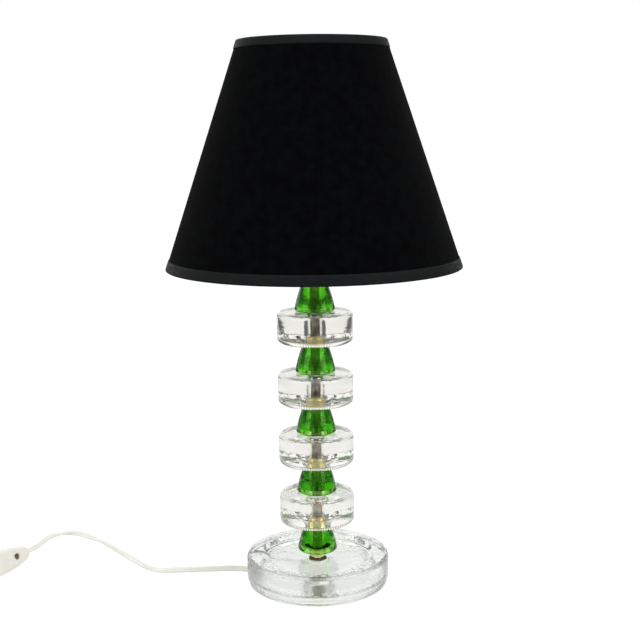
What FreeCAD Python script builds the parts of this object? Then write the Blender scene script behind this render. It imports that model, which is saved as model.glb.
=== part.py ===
import FreeCAD
import Part

import math
import os
import re

import Sketcher

# Glass table lamp, in millimetres. Z is up, the origin is the middle of the foot's underside,
# and the lamp is looked at along +Y.

SIZES = {
    # threaded rod that strings the glass together
    "rod_radius": 5.0,
    "rod_bore_radius": 4.0,
    "rod_hole_gap": 0.3,
    "thread_gap": 0.05,
    "rod_end": 1.0,
    # pressed glass foot
    "foot_radius": 69.8,
    "foot_height": 29.0,
    "foot_edge": 4.0,
    "band_radius": 68.5,
    "band_height": 5.0,
    "band_edge": 1.8,
    "groove_depth": 1.6,
    "groove_width": 1.4,
    "dish_radius": 46.0,
    "dish_depth": 4.0,
    "rim_slope_width": 9.5,
    "rim_bend": 12.0,
    "hollow_radius": 57.0,
    "hollow_depth": 5.8,
    "well_radius": 11.4,
    "well_depth": 16.0,
    "notch_width": 6.4,
    "notch_azimuth": 163.8,
    # hardware under and over the foot
    "seal_radius": 9.0,
    "seal_thickness": 1.5,
    "steel_washer_radius": 8.7,
    "steel_washer_thickness": 1.2,
    "lock_nut_flats": 14.0,
    "lock_nut_height": 4.0,
    "foot_nut_flats": 14.0,
    "foot_nut_height": 6.4,
    "nut_chamfer": 0.8,
    "foot_collar_radius": 8.6,
    "foot_collar_height": 3.4,
    # green glass cones
    "cone_foot_radius": 19.4,
    "cone_top_radius": 11.6,
    "cone_height": 29.5,
    "cone_foot_edge": 2.7,
    "cone_top_edge": 0.8,
    "cone_side_bend": 190.0,
    "cup_radius": 12.6,
    "cup_depth": 3.4,
    # clear glass discs, each on a flanged brass collar
    "disc_radius": 36.4,
    "disc_height": 30.2,
    "disc_top_edge": 4.0,
    "disc_foot_edge": 5.5,
    "collar_flange_radius": 9.0,
    "collar_flange_height": 6.0,
    "disc_hole_radius": 7.6,
    "collar_hub_radius": 6.7,
    "collar_height": 8.0,
    "collar_gap": 0.4,
    # hardware over the top cone
    "top_washer_radius": 12.0,
    "top_washer_thickness": 1.2,
    "top_nut_flats": 14.0,
    "top_nut_height": 5.3,
    # lampholder
    "holder_radius": 19.5,
    "holder_wall": 1.6,
    "holder_neck_radius": 8.0,
    "holder_neck_height": 6.0,
    "holder_cap_shoulder": 19.0,
    "holder_cap_height": 24.0,
    "holder_height": 58.0,
    "holder_flange_radius": 23.0,
    "holder_flange_level": 34.0,
    "holder_flange_thickness": 1.6,
    "core_height": 10.0,
    "core_gap": 0.3,
    "sleeve_wall": 0.4,
    "sleeve_height": 22.0,
    "tongue_radius": 3.0,
    "tongue_height": 3.5,
    "terminal_spread": 10.0,
    "terminal_radius": 1.8,
    "terminal_height": 3.9,
    "shade_nut_radius": 23.8,
    "shade_nut_height": 8.0,
    # bulb
    "bulb_radius": 30.0,
    "bulb_length": 105.0,
    "bulb_wall": 1.0,
    "bulb_neck_radius": 12.2,
    "bulb_neck_top": 28.0,
    "bulb_shoulder_share": 0.85,
    "bulb_flare_bend": 60.0,
    "bulb_cap_radius": 13.1,
    "bulb_cap_wall": 0.4,
    "bulb_cap_height": 26.0,
    "bulb_cap_shoulder": 6.0,
    "bulb_tip_radius": 4.6,
    "bulb_tip_height": 3.0,
    "bulb_socket_gap": 0.25,
    # shade
    "shade_bottom_level": 313.0,
    "shade_height": 210.0,
    "shade_bottom_radius": 139.9,
    "shade_top_radius": 69.1,
    "shade_wall": 0.9,
    "trim_thickness": 0.7,
    "trim_fold": 0.9,
    "trim_edge": 0.5,
    "bottom_trim_height": 9.5,
    "top_trim_height": 8.0,
    "trim_lip": 4.4,
    "wire_radius": 1.5,
    "fit_gap": 0.1,
    "turn_gap": 0.3,
    "fitter_ring_width": 5.5,
    "fitter_thickness": 2.0,
    "fitter_arm_radius": 1.6,
    "fitter_arm_root": 0.8,
    # cord
    "cord_radius": 2.65,
    "core_wire_radius": 0.8,
    "core_wire_spread": 1.3,
    "lead_bend": 6.1,
    # inline switch
    "switch_half_length": 39.0,
    "switch_half_width": 11.6,
    "switch_end_half_width": 7.0,
    "switch_end_bulge": 5.0,
    "switch_half_thickness": 7.0,
    "switch_edge": 3.0,
    "switch_wall": 1.8,
    "switch_axis_level": 12.45,
    "switch_heading": 238.0,
    "switch_lean": 110.0,
    "cord_hole_gap": 0.2,
    "cord_inside": 9.0,
    "window_half_length": 9.9,
    "window_half_width": 5.6,
    "rocker_radius": 9.7,
    "rocker_half_width": 5.2,
    "rocker_floor": 1.5,
    "rocker_crown_half_length": 7.2,
    "rocker_dip": 0.9,
    "rocker_pivot_level": 2.6,
    "rocker_tilt": 7.0,
    "pin_radius": 1.2,
    "pin_gap": 0.06,
    "lug_half_length": 2.8,
    "lug_width": 1.6,
    "plunger_radius": 1.2,
    "plunger_length": 3.6,
    "bridge_half_length": 6.5,
    "bridge_half_width": 2.0,
    "bridge_thickness": 0.6,
    "bridge_bead_radius": 0.7,
    "bridge_level": -3.5,
    "bridge_share": 0.8,
    "post_half_width": 1.5,
    "link_half_length": 9.0,
    "link_offset": 7.8,
    "screw_offset": 21.5,
    "screw_radius": 1.3,
    "screw_head_radius": 2.7,
    "screw_head_height": 1.8,
    "screw_recess_radius": 3.4,
    "screw_recess_depth": 3.5,
    "boss_radius": 4.2,
    "clamp_offset": 33.0,
    "clamp_half_length": 1.5,
    "clamp_half_width": 4.2,
    "clamp_thickness": 1.4,
    # plug
    "plug_length": 33.0,
    "plug_half_width": 17.5,
    "plug_tail_half_width": 7.5,
    "plug_shoulder": 13.0,
    "plug_thickness": 13.8,
    "plug_edge": 3.0,
    "boot_length": 24.0,
    "boot_radius": 5.2,
    "boot_tip_radius": 3.6,
    "prong_radius": 2.0,
    "prong_length": 19.0,
    "prong_spread": 9.5,
    "sleeve_length": 10.0,
    "prong_sleeve_wall": 0.25,
    "prong_root": 6.0,
    # storage coil
    "coil_inner_radius": 23.2,
    "coil_pitch": 5.9,
    "coil_turns": 5.77,
    "coil_floor": 1.0,
    "coil_layer_gap": 0.6,
    "tie_width": 3.0,
    "tie_thickness": 0.7,
    "tie_gap": 0.2,
}

CONES = 5
DISCS = CONES - 1
MATH_WORDS = {"sqrt", "cos", "sin", "tan"}
ARC_SHARE = 0.45
FLEX = 0.01

# Route of the cord over the floor, chosen by hand: x, y and height of its middle.
CORD_TO_SWITCH = [
    (-84.0, 24.4, 2.65),
    (-103.0, 22.3, 2.65),
    (-122.0, 21.4, 2.65),
    (-140.0, 20.4, 2.65),
    (-156.5, 19.8, 2.65),
    (-171.5, 26.5, 2.65),
    (-183.5, 40.0, 2.65),
    (-198.0, 57.5, 2.65),
    (-213.5, 76.0, 3.2),
    (-228.5, 92.0, 5.2),
    (-244.0, 102.5, 8.2),
    (-261.0, 106.0, 11.6),
    (-277.0, 100.5, 14.4),
    (-288.0, 87.0, 15.2),
]
SWITCH_ENTRY = (-303.1, 49.4)
CORD_TO_COIL = [(-364.3, -41.2, 12.2)]
COIL_ENTRY = (-387.9, -69.7)
COIL_ENTRY_HEADING = 238.0
CORD_TO_PLUG = [
    (-372.0, -36.5, 3.2),
    (-387.0, -22.5, 3.3),
    (-397.0, -4.0, 4.6),
]
PLUG_START = (-402.2, 29.0)
PLUG_HEADING = 92.0
# Straight stretches of the cord beside the switch, the coil and the plug.
LEAD_TO_SWITCH = 18.0
LEAD_FROM_SWITCH = 12.0
LEAD_AT_COIL = 14.0
LEAD_TO_PLUG = 14.0

doc = FreeCAD.newDocument("glass_table_lamp")
sheet = doc.addObject("Spreadsheet::Sheet", "Sizes")
nodes = {}


def fill_sheet():
    """One row for each driving size: its name, its value and the name again as alias."""
    for row, (name, size) in enumerate(SIZES.items(), start=1):
        sheet.set("A%d" % row, name)
        sheet.set("B%d" % row, str(size))
        sheet.setAlias("B%d" % row, name)
    doc.recompute()


def formula(text):
    """A formula in the sheet's names, written the way the document reads it."""
    def full_name(word):
        name = word.group()
        return name if name in MATH_WORDS else "Sizes." + name

    return re.sub(r"[a-z][a-z_]*", full_name, text)


def value(text):
    """The number that a formula in the sheet's names stands for."""
    return float(sheet.evalExpression(formula(text)))


def bind(item, prop, text):
    """Ties a property to a formula in the sheet's names."""
    item.setExpression(prop, formula(text))


def finished(label, item, placement=None):
    """Names a piece that is done and puts it in its place."""
    item.Label = label
    if placement is not None:
        item.Placement = placement
    nodes[label] = item
    return item


# Sketches and solids that the pieces share

def arc_through(start, end, bend):
    """An arc between two points: a positive bend turns left on the way, a negative one right."""
    chord = end - start
    left = FreeCAD.Vector(-chord.y, chord.x, 0).normalize()
    radius = abs(bend)
    rise = math.sqrt(max(radius ** 2 - (chord.Length / 2) ** 2, 0.0))
    centre = (start + end) / 2 + left * math.copysign(rise, bend)
    circle = Part.Circle(centre, FreeCAD.Vector(0, 0, 1), radius)
    first, last = (start, end) if bend > 0 else (end, start)
    return Part.ArcOfCircle(circle, circle.parameter(first), circle.parameter(last))


def hold_point(sketch, geometry, end, x_text, y_text):
    """Fixes one end of a line or arc at two formulas."""
    for kind, axis, text in (("DistanceX", -2, x_text), ("DistanceY", -1, y_text)):
        if text == "0":
            sketch.addConstraint(Sketcher.Constraint("PointOnObject", geometry, end, axis))
        else:
            index = sketch.addConstraint(
                Sketcher.Constraint(kind, -1, 1, geometry, end, value(text)))
            bind(sketch, "Constraints[%d]" % index, text)


def closed_sketch(body, role, outline):
    """A closed outline on one of the body's own planes. Each corner is (x, y), or (x, y, bend)
    where the side that arrives there is an arc of that radius."""
    plane = [item for item in body.Origin.OriginFeatures if item.Role == role][0]
    sketch = body.newObject("Sketcher::SketchObject", body.Name + "_sketch")
    sketch.AttachmentSupport = (plane, [""])
    sketch.MapMode = "FlatFace"
    corners = [FreeCAD.Vector(value(corner[0]), value(corner[1]), 0) for corner in outline]
    ends = []
    for number, corner in enumerate(outline):
        start, end = corners[number - 1], corners[number]
        if len(corner) == 3:
            bend = value(corner[2])
            geometry = sketch.addGeometry(arc_through(start, end, bend), False)
            index = sketch.addConstraint(Sketcher.Constraint("Radius", geometry, abs(bend)))
            bind(sketch, "Constraints[%d]" % index, corner[2].lstrip("-"))
            ends.append((geometry, 1, 2) if bend > 0 else (geometry, 2, 1))
        else:
            geometry = sketch.addGeometry(Part.LineSegment(start, end), False)
            ends.append((geometry, 1, 2))
        hold_point(sketch, geometry, ends[-1][2], corner[0], corner[1])
    for number, (geometry, near, _) in enumerate(ends):
        before, _, far = ends[number - 1]
        sketch.addConstraint(Sketcher.Constraint("Coincident", before, far, geometry, near))
    return sketch


def new_body(name):
    return doc.addObject("PartDesign::Body", name)


def turned(name, outline, level="0"):
    """A body turned about Z from a half section of (radius, height) corners."""
    body = new_body(name)
    sketch = closed_sketch(body, "XZ_Plane", outline)
    turn = body.newObject("PartDesign::Revolution", name + "_turn")
    turn.Profile = sketch
    turn.ReferenceAxis = (sketch, ["V_Axis"])
    turn.Angle = 360
    if level != "0":
        bind(body, "Placement.Base.z", level)
    return body


def ring(name, inner, outer, thickness, level="0"):
    """A flat ring or a sleeve."""
    return turned(name, [(inner, "0"), (outer, "0"), (outer, thickness), (inner, thickness)],
                  level)


def padded(name, role, outline, length, midplane=False, backwards=False):
    """A body pushed out from an outline."""
    body = new_body(name)
    pad = body.newObject("PartDesign::Pad", name + "_pad")
    pad.Profile = closed_sketch(body, role, outline)
    bind(pad, "Length", length)
    pad.Midplane = midplane
    pad.Reversed = backwards
    return body


def block(name, corner, spans):
    """A box from its lowest corner and its three spans."""
    box = doc.addObject("Part::Box", name)
    for prop, text in zip(("Length", "Width", "Height"), spans):
        bind(box, prop, text)
    for axis, text in zip("xyz", corner):
        bind(box, "Placement.Base." + axis, text)
    return box


def rod(name, radius, length, base=("0", "0", "0"), rotation=None):
    """A cylinder that starts at a point, along Z or along Z turned by a rotation."""
    cylinder = doc.addObject("Part::Cylinder", name)
    if rotation is not None:
        cylinder.Placement.Rotation = rotation
    bind(cylinder, "Radius", radius)
    bind(cylinder, "Height", length)
    for axis, text in zip("xyz", base):
        bind(cylinder, "Placement.Base." + axis, text)
    return cylinder


def cut(name, whole, *tools):
    """The whole without its tools."""
    taken = tools[0] if len(tools) == 1 else fused(name + "_tools", *tools)
    result = doc.addObject("Part::Cut", name)
    result.Base = whole
    result.Tool = taken
    return result


def fused(name, *pieces):
    result = doc.addObject("Part::MultiFuse", name)
    result.Shapes = list(pieces)
    return result


def group(name, *pieces):
    """Like pieces that stay separate solids under one name."""
    result = doc.addObject("Part::Compound", name)
    result.Links = list(pieces)
    return result


def rounded(name, source, radius, chosen):
    """Rounds the edges of a body's last feature that a test picks."""
    doc.recompute()
    tip = source.Tip
    edges = ["Edge%d" % number for number, edge in enumerate(tip.Shape.Edges, start=1)
             if chosen(edge)]
    fillet = source.newObject("PartDesign::Fillet", name + "_fillet")
    fillet.Base = (tip, edges)
    bind(fillet, "Radius", radius)
    source.Tip = fillet


def hex_nut(label, flats, thickness, level):
    """A nut with chamfered corners: a hexagon inside a turned blank."""
    hexagon = doc.addObject("Part::Prism", label + "_hexagon")
    hexagon.Polygon = 6
    corner = "(%s) / sqrt(3)" % flats
    bore = "rod_radius + thread_gap"
    bind(hexagon, "Circumradius", corner)
    bind(hexagon, "Height", thickness)
    blank = turned(label + "_blank", [
        (bore, "0"),
        ("%s - nut_chamfer" % corner, "0"),
        (corner, "nut_chamfer / 2"),
        (corner, "%s - nut_chamfer / 2" % thickness),
        ("%s - nut_chamfer" % corner, thickness),
        (bore, thickness),
    ])
    nut = doc.addObject("Part::Common", label)
    nut.Base = hexagon
    nut.Tool = blank
    bind(nut, "Placement.Base.z", level)
    finished(label, nut)


def arc_run(points):
    """Straight runs joined by tangent arcs, and the radius of each arc."""
    edges = []
    radii = []
    start = points[0]
    for before, corner, after in zip(points, points[1:], points[2:]):
        run_in = corner - before
        run_out = after - corner
        half_turn = run_in.getAngle(run_out) / 2
        reach = ARC_SHARE * min(run_in.Length, run_out.Length)
        radius = reach / math.tan(half_turn)
        way_in = FreeCAD.Vector(run_in).normalize()
        way_out = FreeCAD.Vector(run_out).normalize()
        inward = (way_out - way_in).normalize()
        middle = corner + inward * (radius / math.cos(half_turn) - radius)
        arc_start = corner - way_in * reach
        arc_end = corner + way_out * reach
        edges.append(Part.LineSegment(start, arc_start).toShape())
        edges.append(Part.Arc(arc_start, middle, arc_end).toShape())
        radii.append(radius)
        start = arc_end
    edges.append(Part.LineSegment(start, points[-1]).toShape())
    return edges, radii


def pipe(label, edges, radius):
    """A round tube along a smooth path, its volume tested against section times length."""
    path = Part.Wire(edges)
    way = edges[0].tangentAt(edges[0].FirstParameter)
    start = edges[0].valueAt(edges[0].FirstParameter)
    section = Part.Wire([Part.makeCircle(radius, start, way)])
    solid = path.makePipeShell([section], True, False)
    expected = math.pi * radius ** 2 * path.Length
    if abs(solid.Volume / expected - 1) > FLEX:
        raise ValueError("%s has volume %.1f, not %.1f" % (label, solid.Volume, expected))
    return solid, path.Length


def feature(label, shape, placement=None):
    """A piece whose shape is worked out here from the sheet's sizes."""
    item = doc.addObject("Part::Feature", label)
    item.Shape = shape
    return finished(label, item, placement)


def tube(label, points):
    """A free stretch of cord. The last straight run leaves room for no arc."""
    edges, radii = arc_run(points)
    solid, length = pipe(label, edges, value("cord_radius"))
    print("%s: length %.1f, radii %s" % (label, length, [round(item, 1) for item in radii]))
    feature(label, solid)
    return length


def direction(angle):
    """A level unit vector at an angle from +X."""
    return FreeCAD.Vector(math.cos(math.radians(angle)), math.sin(math.radians(angle)), 0)


# Levels of the stack, from the floor up

DISH_FLOOR = "(foot_height - dish_depth)"
STACK_START = "(%s + foot_nut_height + foot_collar_height - cup_depth)" % DISH_FLOOR
SEAL_LEVEL = "(well_depth - seal_thickness)"
STEEL_LEVEL = "(%s - steel_washer_thickness)" % SEAL_LEVEL
LOCK_NUT_LEVEL = "(%s - lock_nut_height)" % STEEL_LEVEL
ROD_BOTTOM = "(%s - rod_end)" % LOCK_NUT_LEVEL


def cone_level(number):
    return "(%s + %d * (cone_height + disc_height))" % (STACK_START, number)


def disc_level(number):
    return "(%s + cone_height)" % cone_level(number)


TOP_WASHER_LEVEL = disc_level(CONES - 1)
TOP_NUT_LEVEL = "(%s + top_washer_thickness)" % TOP_WASHER_LEVEL
HOLDER_LEVEL = "(%s + top_nut_height)" % TOP_NUT_LEVEL
ROD_TOP = "(%s + holder_neck_height)" % HOLDER_LEVEL
ROD_HOLE = "rod_radius + rod_hole_gap"


# Foot and the hardware that holds it

def make_foot():
    glass = turned("foot_glass", [
        (ROD_HOLE, "well_depth"),
        ("well_radius", "well_depth"),
        ("well_radius", "hollow_depth"),
        ("hollow_radius - band_edge", "hollow_depth"),
        ("hollow_radius", "hollow_depth - band_edge", "-band_edge"),
        ("hollow_radius", "0"),
        ("band_radius - band_edge", "0"),
        ("band_radius", "band_edge", "band_edge"),
        ("band_radius", "band_height"),
        ("foot_radius - groove_depth", "band_height + groove_width / 2"),
        ("foot_radius", "band_height + groove_width"),
        ("foot_radius", "foot_height - foot_edge"),
        ("foot_radius - foot_edge", "foot_height", "foot_edge"),
        ("dish_radius + rim_slope_width", "foot_height"),
        ("dish_radius + rim_slope_width / 2", "foot_height - dish_depth / 2", "rim_bend"),
        ("dish_radius", DISH_FLOOR, "-rim_bend"),
        (ROD_HOLE, DISH_FLOOR),
    ])
    notch = block("cord_notch",
                  ("0", "-notch_width / 2", "-1"),
                  ("foot_radius + 1", "notch_width", "hollow_depth + 1"))
    turned_notch = group("cord_notch_turned", notch)
    turned_notch.Placement.Rotation = FreeCAD.Rotation(
        FreeCAD.Vector(0, 0, 1), value("notch_azimuth"))
    finished("glass_foot", cut("glass_foot", glass, turned_notch))


def make_foot_hardware():
    rod_gap = "rod_radius + thread_gap"
    finished("rubber_washer", ring("rubber_washer", rod_gap, "seal_radius", "seal_thickness",
                                   SEAL_LEVEL))
    finished("steel_washer", ring("steel_washer", rod_gap, "steel_washer_radius",
                                  "steel_washer_thickness", STEEL_LEVEL))
    hex_nut("lock_nut", "lock_nut_flats", "lock_nut_height", LOCK_NUT_LEVEL)
    hex_nut("foot_nut", "foot_nut_flats", "foot_nut_height", DISH_FLOOR)
    finished("foot_collar", ring("foot_collar", rod_gap, "foot_collar_radius",
                                 "foot_collar_height",
                                 "%s + foot_nut_height" % DISH_FLOOR))
    finished("threaded_rod", ring("threaded_rod", "rod_bore_radius", "rod_radius",
                                  "%s - %s" % (ROD_TOP, ROD_BOTTOM), ROD_BOTTOM))


# Glass of the column

def make_cone(number):
    label = "green_cone_%d" % (number + 1)
    finished(label, turned(label, [
        (ROD_HOLE, "cup_depth"),
        ("cup_radius - cup_depth / 4", "cup_depth"),
        ("cup_radius", "0"),
        ("cone_foot_radius - cone_foot_edge", "0"),
        ("cone_foot_radius", "cone_foot_edge", "cone_foot_edge"),
        ("cone_top_radius", "cone_height - cone_top_edge", "cone_side_bend"),
        ("cone_top_radius - cone_top_edge", "cone_height", "cone_top_edge"),
        (ROD_HOLE, "cone_height"),
    ], cone_level(number)))


def make_disc(number):
    label = "clear_disc_%d" % (number + 1)
    flange_hole = "collar_flange_radius + collar_gap"
    flange_top = "collar_flange_height + rod_hole_gap"
    finished(label, turned(label, [
        ("disc_hole_radius", flange_top),
        (flange_hole, flange_top),
        (flange_hole, "0"),
        ("disc_radius - disc_foot_edge", "0"),
        ("disc_radius", "disc_foot_edge", "disc_foot_edge"),
        ("disc_radius", "disc_height - disc_top_edge"),
        ("disc_radius - disc_top_edge", "disc_height", "disc_top_edge"),
        ("disc_hole_radius", "disc_height"),
    ], disc_level(number)))
    label = "brass_collar_%d" % (number + 1)
    finished(label, turned(label, [
        ("rod_radius + thread_gap", "0"),
        ("collar_flange_radius", "0"),
        ("collar_flange_radius", "collar_flange_height"),
        ("collar_hub_radius", "collar_flange_height"),
        ("collar_hub_radius", "collar_height"),
        ("rod_radius + thread_gap", "collar_height"),
    ], disc_level(number)))


def make_top_hardware():
    finished("top_washer", ring("top_washer", "rod_radius + thread_gap", "top_washer_radius",
                                "top_washer_thickness", TOP_WASHER_LEVEL))
    hex_nut("top_nut", "top_nut_flats", "top_nut_height", TOP_NUT_LEVEL)


# Lampholder and bulb

CORE_LEVEL = "(holder_cap_shoulder + holder_wall / 2)"
SLEEVE_LEVEL = "(%s + core_height)" % CORE_LEVEL
BULB_LEVEL = "(%s + %s + tongue_height)" % (HOLDER_LEVEL, SLEEVE_LEVEL)
FLANGE_TOP = "(%s + holder_flange_level + holder_flange_thickness)" % HOLDER_LEVEL
FITTER_LEVEL = "(%s + turn_gap)" % FLANGE_TOP
SHADE_NUT_LEVEL = "(%s + fitter_thickness + turn_gap)" % FITTER_LEVEL


def make_holder():
    inside = "holder_radius - holder_wall"
    neck_top = "holder_neck_height + holder_wall"
    finished("holder_cap", turned("holder_cap", [
        ("rod_radius + thread_gap", "0"),
        ("holder_neck_radius", "0"),
        ("holder_neck_radius", "holder_neck_height"),
        ("holder_radius", "holder_cap_shoulder", "holder_cap_height"),
        ("holder_radius", "holder_cap_height"),
        (inside, "holder_cap_height"),
        (inside, "holder_cap_shoulder + holder_wall / 2"),
        ("holder_neck_radius", neck_top, "-holder_cap_height"),
        ("rod_radius + thread_gap", neck_top),
    ], HOLDER_LEVEL))
    flange_top = "holder_flange_level + holder_flange_thickness"
    finished("holder_skirt", turned("holder_skirt", [
        (inside, "holder_cap_height"),
        ("holder_radius", "holder_cap_height"),
        ("holder_radius", "holder_flange_level"),
        ("holder_flange_radius", "holder_flange_level"),
        ("holder_flange_radius", flange_top),
        ("holder_radius", flange_top),
        ("holder_radius", "holder_height"),
        (inside, "holder_height"),
    ], HOLDER_LEVEL))
    finished("holder_core", ring("holder_core", "core_gap", "%s - core_gap" % inside,
                                 "core_height", "%s + %s" % (HOLDER_LEVEL, CORE_LEVEL)))
    sleeve_inner = "bulb_cap_radius + bulb_socket_gap"
    finished("screw_sleeve", ring("screw_sleeve", sleeve_inner, sleeve_inner + " + sleeve_wall",
                                  "sleeve_height", "%s + %s" % (HOLDER_LEVEL, SLEEVE_LEVEL)))
    finished("centre_tongue", rod("centre_tongue", "tongue_radius", "tongue_height",
                                  ("0", "0", "%s + %s" % (HOLDER_LEVEL, SLEEVE_LEVEL))))
    screws = [rod("terminal_screw_%d" % (number + 1), "terminal_radius", "terminal_height",
                  (side + "terminal_spread", "0",
                   "%s + %s - terminal_height" % (HOLDER_LEVEL, CORE_LEVEL)))
              for number, side in enumerate(("-", ""))]
    finished("terminal_screws", group("terminal_screws", *screws))
    finished("shade_nut", ring("shade_nut", "holder_radius + fit_gap", "shade_nut_radius",
                               "shade_nut_height", SHADE_NUT_LEVEL))


def make_bulb():
    shoulder = "bulb_radius * bulb_shoulder_share"
    shoulder_drop = "bulb_radius * sqrt(1 - bulb_shoulder_share ^ 2)"
    middle = "bulb_length - bulb_radius"
    inner = "(bulb_radius - bulb_wall)"
    inner_shoulder = "%s * bulb_shoulder_share" % inner
    inner_drop = "%s * sqrt(1 - bulb_shoulder_share ^ 2)" % inner
    neck_inner = "bulb_neck_radius - bulb_wall"
    finished("bulb_glass", turned("bulb_glass", [
        (neck_inner, "bulb_neck_top / 2"),
        ("bulb_neck_radius", "bulb_neck_top / 2"),
        ("bulb_neck_radius", "bulb_neck_top"),
        (shoulder, "%s - %s" % (middle, shoulder_drop), "-bulb_flare_bend"),
        ("0", "bulb_length", "bulb_radius"),
        ("0", "bulb_length - bulb_wall"),
        (inner_shoulder, "%s - %s" % (middle, inner_drop), "-" + inner),
        (neck_inner, "bulb_neck_top", "bulb_flare_bend"),
    ], BULB_LEVEL))
    cap_inner = "bulb_cap_radius - bulb_cap_wall"
    finished("bulb_cap", turned("bulb_cap", [
        ("bulb_tip_radius + fit_gap", "bulb_tip_height / 2"),
        ("bulb_cap_radius", "bulb_cap_shoulder"),
        ("bulb_cap_radius", "bulb_cap_height"),
        (cap_inner, "bulb_cap_height"),
        (cap_inner, "bulb_cap_shoulder + bulb_cap_wall"),
        ("bulb_tip_radius + fit_gap", "bulb_tip_height / 2 + 2 * bulb_cap_wall"),
    ], BULB_LEVEL))
    finished("bulb_tip", turned("bulb_tip", [
        ("0", "0"),
        ("bulb_tip_radius * 0.7", "0"),
        ("bulb_tip_radius", "bulb_tip_height / 2"),
        ("bulb_tip_radius", "bulb_tip_height"),
        ("0", "bulb_tip_height"),
    ], BULB_LEVEL))


# Shade

SHADE_TOP = "(shade_bottom_level + shade_height)"
SHADE_SLOPE = "((shade_bottom_radius - shade_top_radius) / shade_height)"


def shade_radius(rise):
    """The shade's outer radius at a height over its lower edge."""
    return "shade_bottom_radius - %s * (%s)" % (SHADE_SLOPE, rise)


def wire_ring(label, rise, level):
    """The steel wire that stiffens one edge of the shade, inside the panel."""
    wire = doc.addObject("Part::Torus", label)
    lean = "sqrt(1 + %s ^ 2)" % SHADE_SLOPE
    bind(wire, "Radius1", "%s - (shade_wall + wire_radius + fit_gap) * %s"
         % (shade_radius(rise), lean))
    bind(wire, "Radius2", "wire_radius")
    bind(wire, "Placement.Base.z", level)
    return finished(label, wire)


def make_shade():
    low = "trim_fold"
    high = "shade_height - trim_fold"
    finished("shade_panel", turned("shade_panel", [
        (shade_radius(low), low),
        (shade_radius(high), high),
        ("%s - shade_wall" % shade_radius(high), high),
        ("%s - shade_wall" % shade_radius(low), low),
    ], "shade_bottom_level"))
    band = "bottom_trim_height"
    finished("bottom_trim", turned("bottom_trim", [
        ("%s - trim_lip" % shade_radius("0"), "0"),
        ("%s + trim_thickness - trim_edge" % shade_radius("0"), "0"),
        ("%s + trim_thickness" % shade_radius("trim_edge"), "trim_edge", "trim_edge"),
        ("%s + trim_thickness" % shade_radius(band + " - trim_edge"), band + " - trim_edge"),
        ("%s + trim_thickness - trim_edge" % shade_radius(band), band, "trim_edge"),
        ("%s + fit_gap" % shade_radius(band), band),
        ("%s + fit_gap" % shade_radius(low), low),
        ("%s - trim_lip" % shade_radius("0"), low),
    ], "shade_bottom_level"))
    band = "shade_height - top_trim_height"
    finished("top_trim", turned("top_trim", [
        ("%s - trim_lip" % shade_radius("shade_height"), high),
        ("%s + fit_gap" % shade_radius(high), high),
        ("%s + fit_gap" % shade_radius(band), band),
        ("%s + trim_thickness - trim_edge" % shade_radius(band), band),
        ("%s + trim_thickness" % shade_radius(band + " + trim_edge"), band + " + trim_edge",
         "trim_edge"),
        ("%s + trim_thickness" % shade_radius("shade_height - trim_edge"),
         "shade_height - trim_edge"),
        ("%s + trim_thickness - trim_edge" % shade_radius("shade_height"), "shade_height",
         "trim_edge"),
        ("%s - trim_lip" % shade_radius("shade_height"), "shade_height"),
    ], "shade_bottom_level"))
    wire_rise = "trim_fold + fit_gap + wire_radius"
    wire_ring("bottom_wire", wire_rise, "shade_bottom_level + %s" % wire_rise)
    top_rise = "shade_height - (%s)" % wire_rise
    wire_ring("top_wire", top_rise, "shade_bottom_level + %s" % top_rise)


def make_fitter():
    """The ring that sits on the lampholder's flange, and three arms out to the lower wire."""
    inner = value("holder_radius + turn_gap")
    width = value("fitter_ring_width")
    thickness = value("fitter_thickness")
    level = value(FITTER_LEVEL)
    hub = Part.makeCylinder(inner + width, thickness, FreeCAD.Vector(0, 0, level))
    wire = nodes["bottom_wire"]
    arm_radius = value("fitter_arm_radius")
    root = value("fitter_arm_root")
    arms = []
    for azimuth in (90, 210, 330):
        way = direction(azimuth)
        start = way * (inner + width - root) + FreeCAD.Vector(0, 0, level + thickness / 2)
        end = (way * (wire.Radius1.Value - wire.Radius2.Value)
               + FreeCAD.Vector(0, 0, wire.Placement.Base.z))
        run = end - start
        length = run.Length - value("fit_gap")
        arms.append(Part.makeCylinder(arm_radius, length, start, run))
    hole = Part.makeCylinder(inner, 4 * thickness, FreeCAD.Vector(0, 0, level - thickness))
    feature("shade_fitter", hub.multiFuse(arms).removeSplitter().cut(hole))


# Wiring inside the lamp

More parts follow.
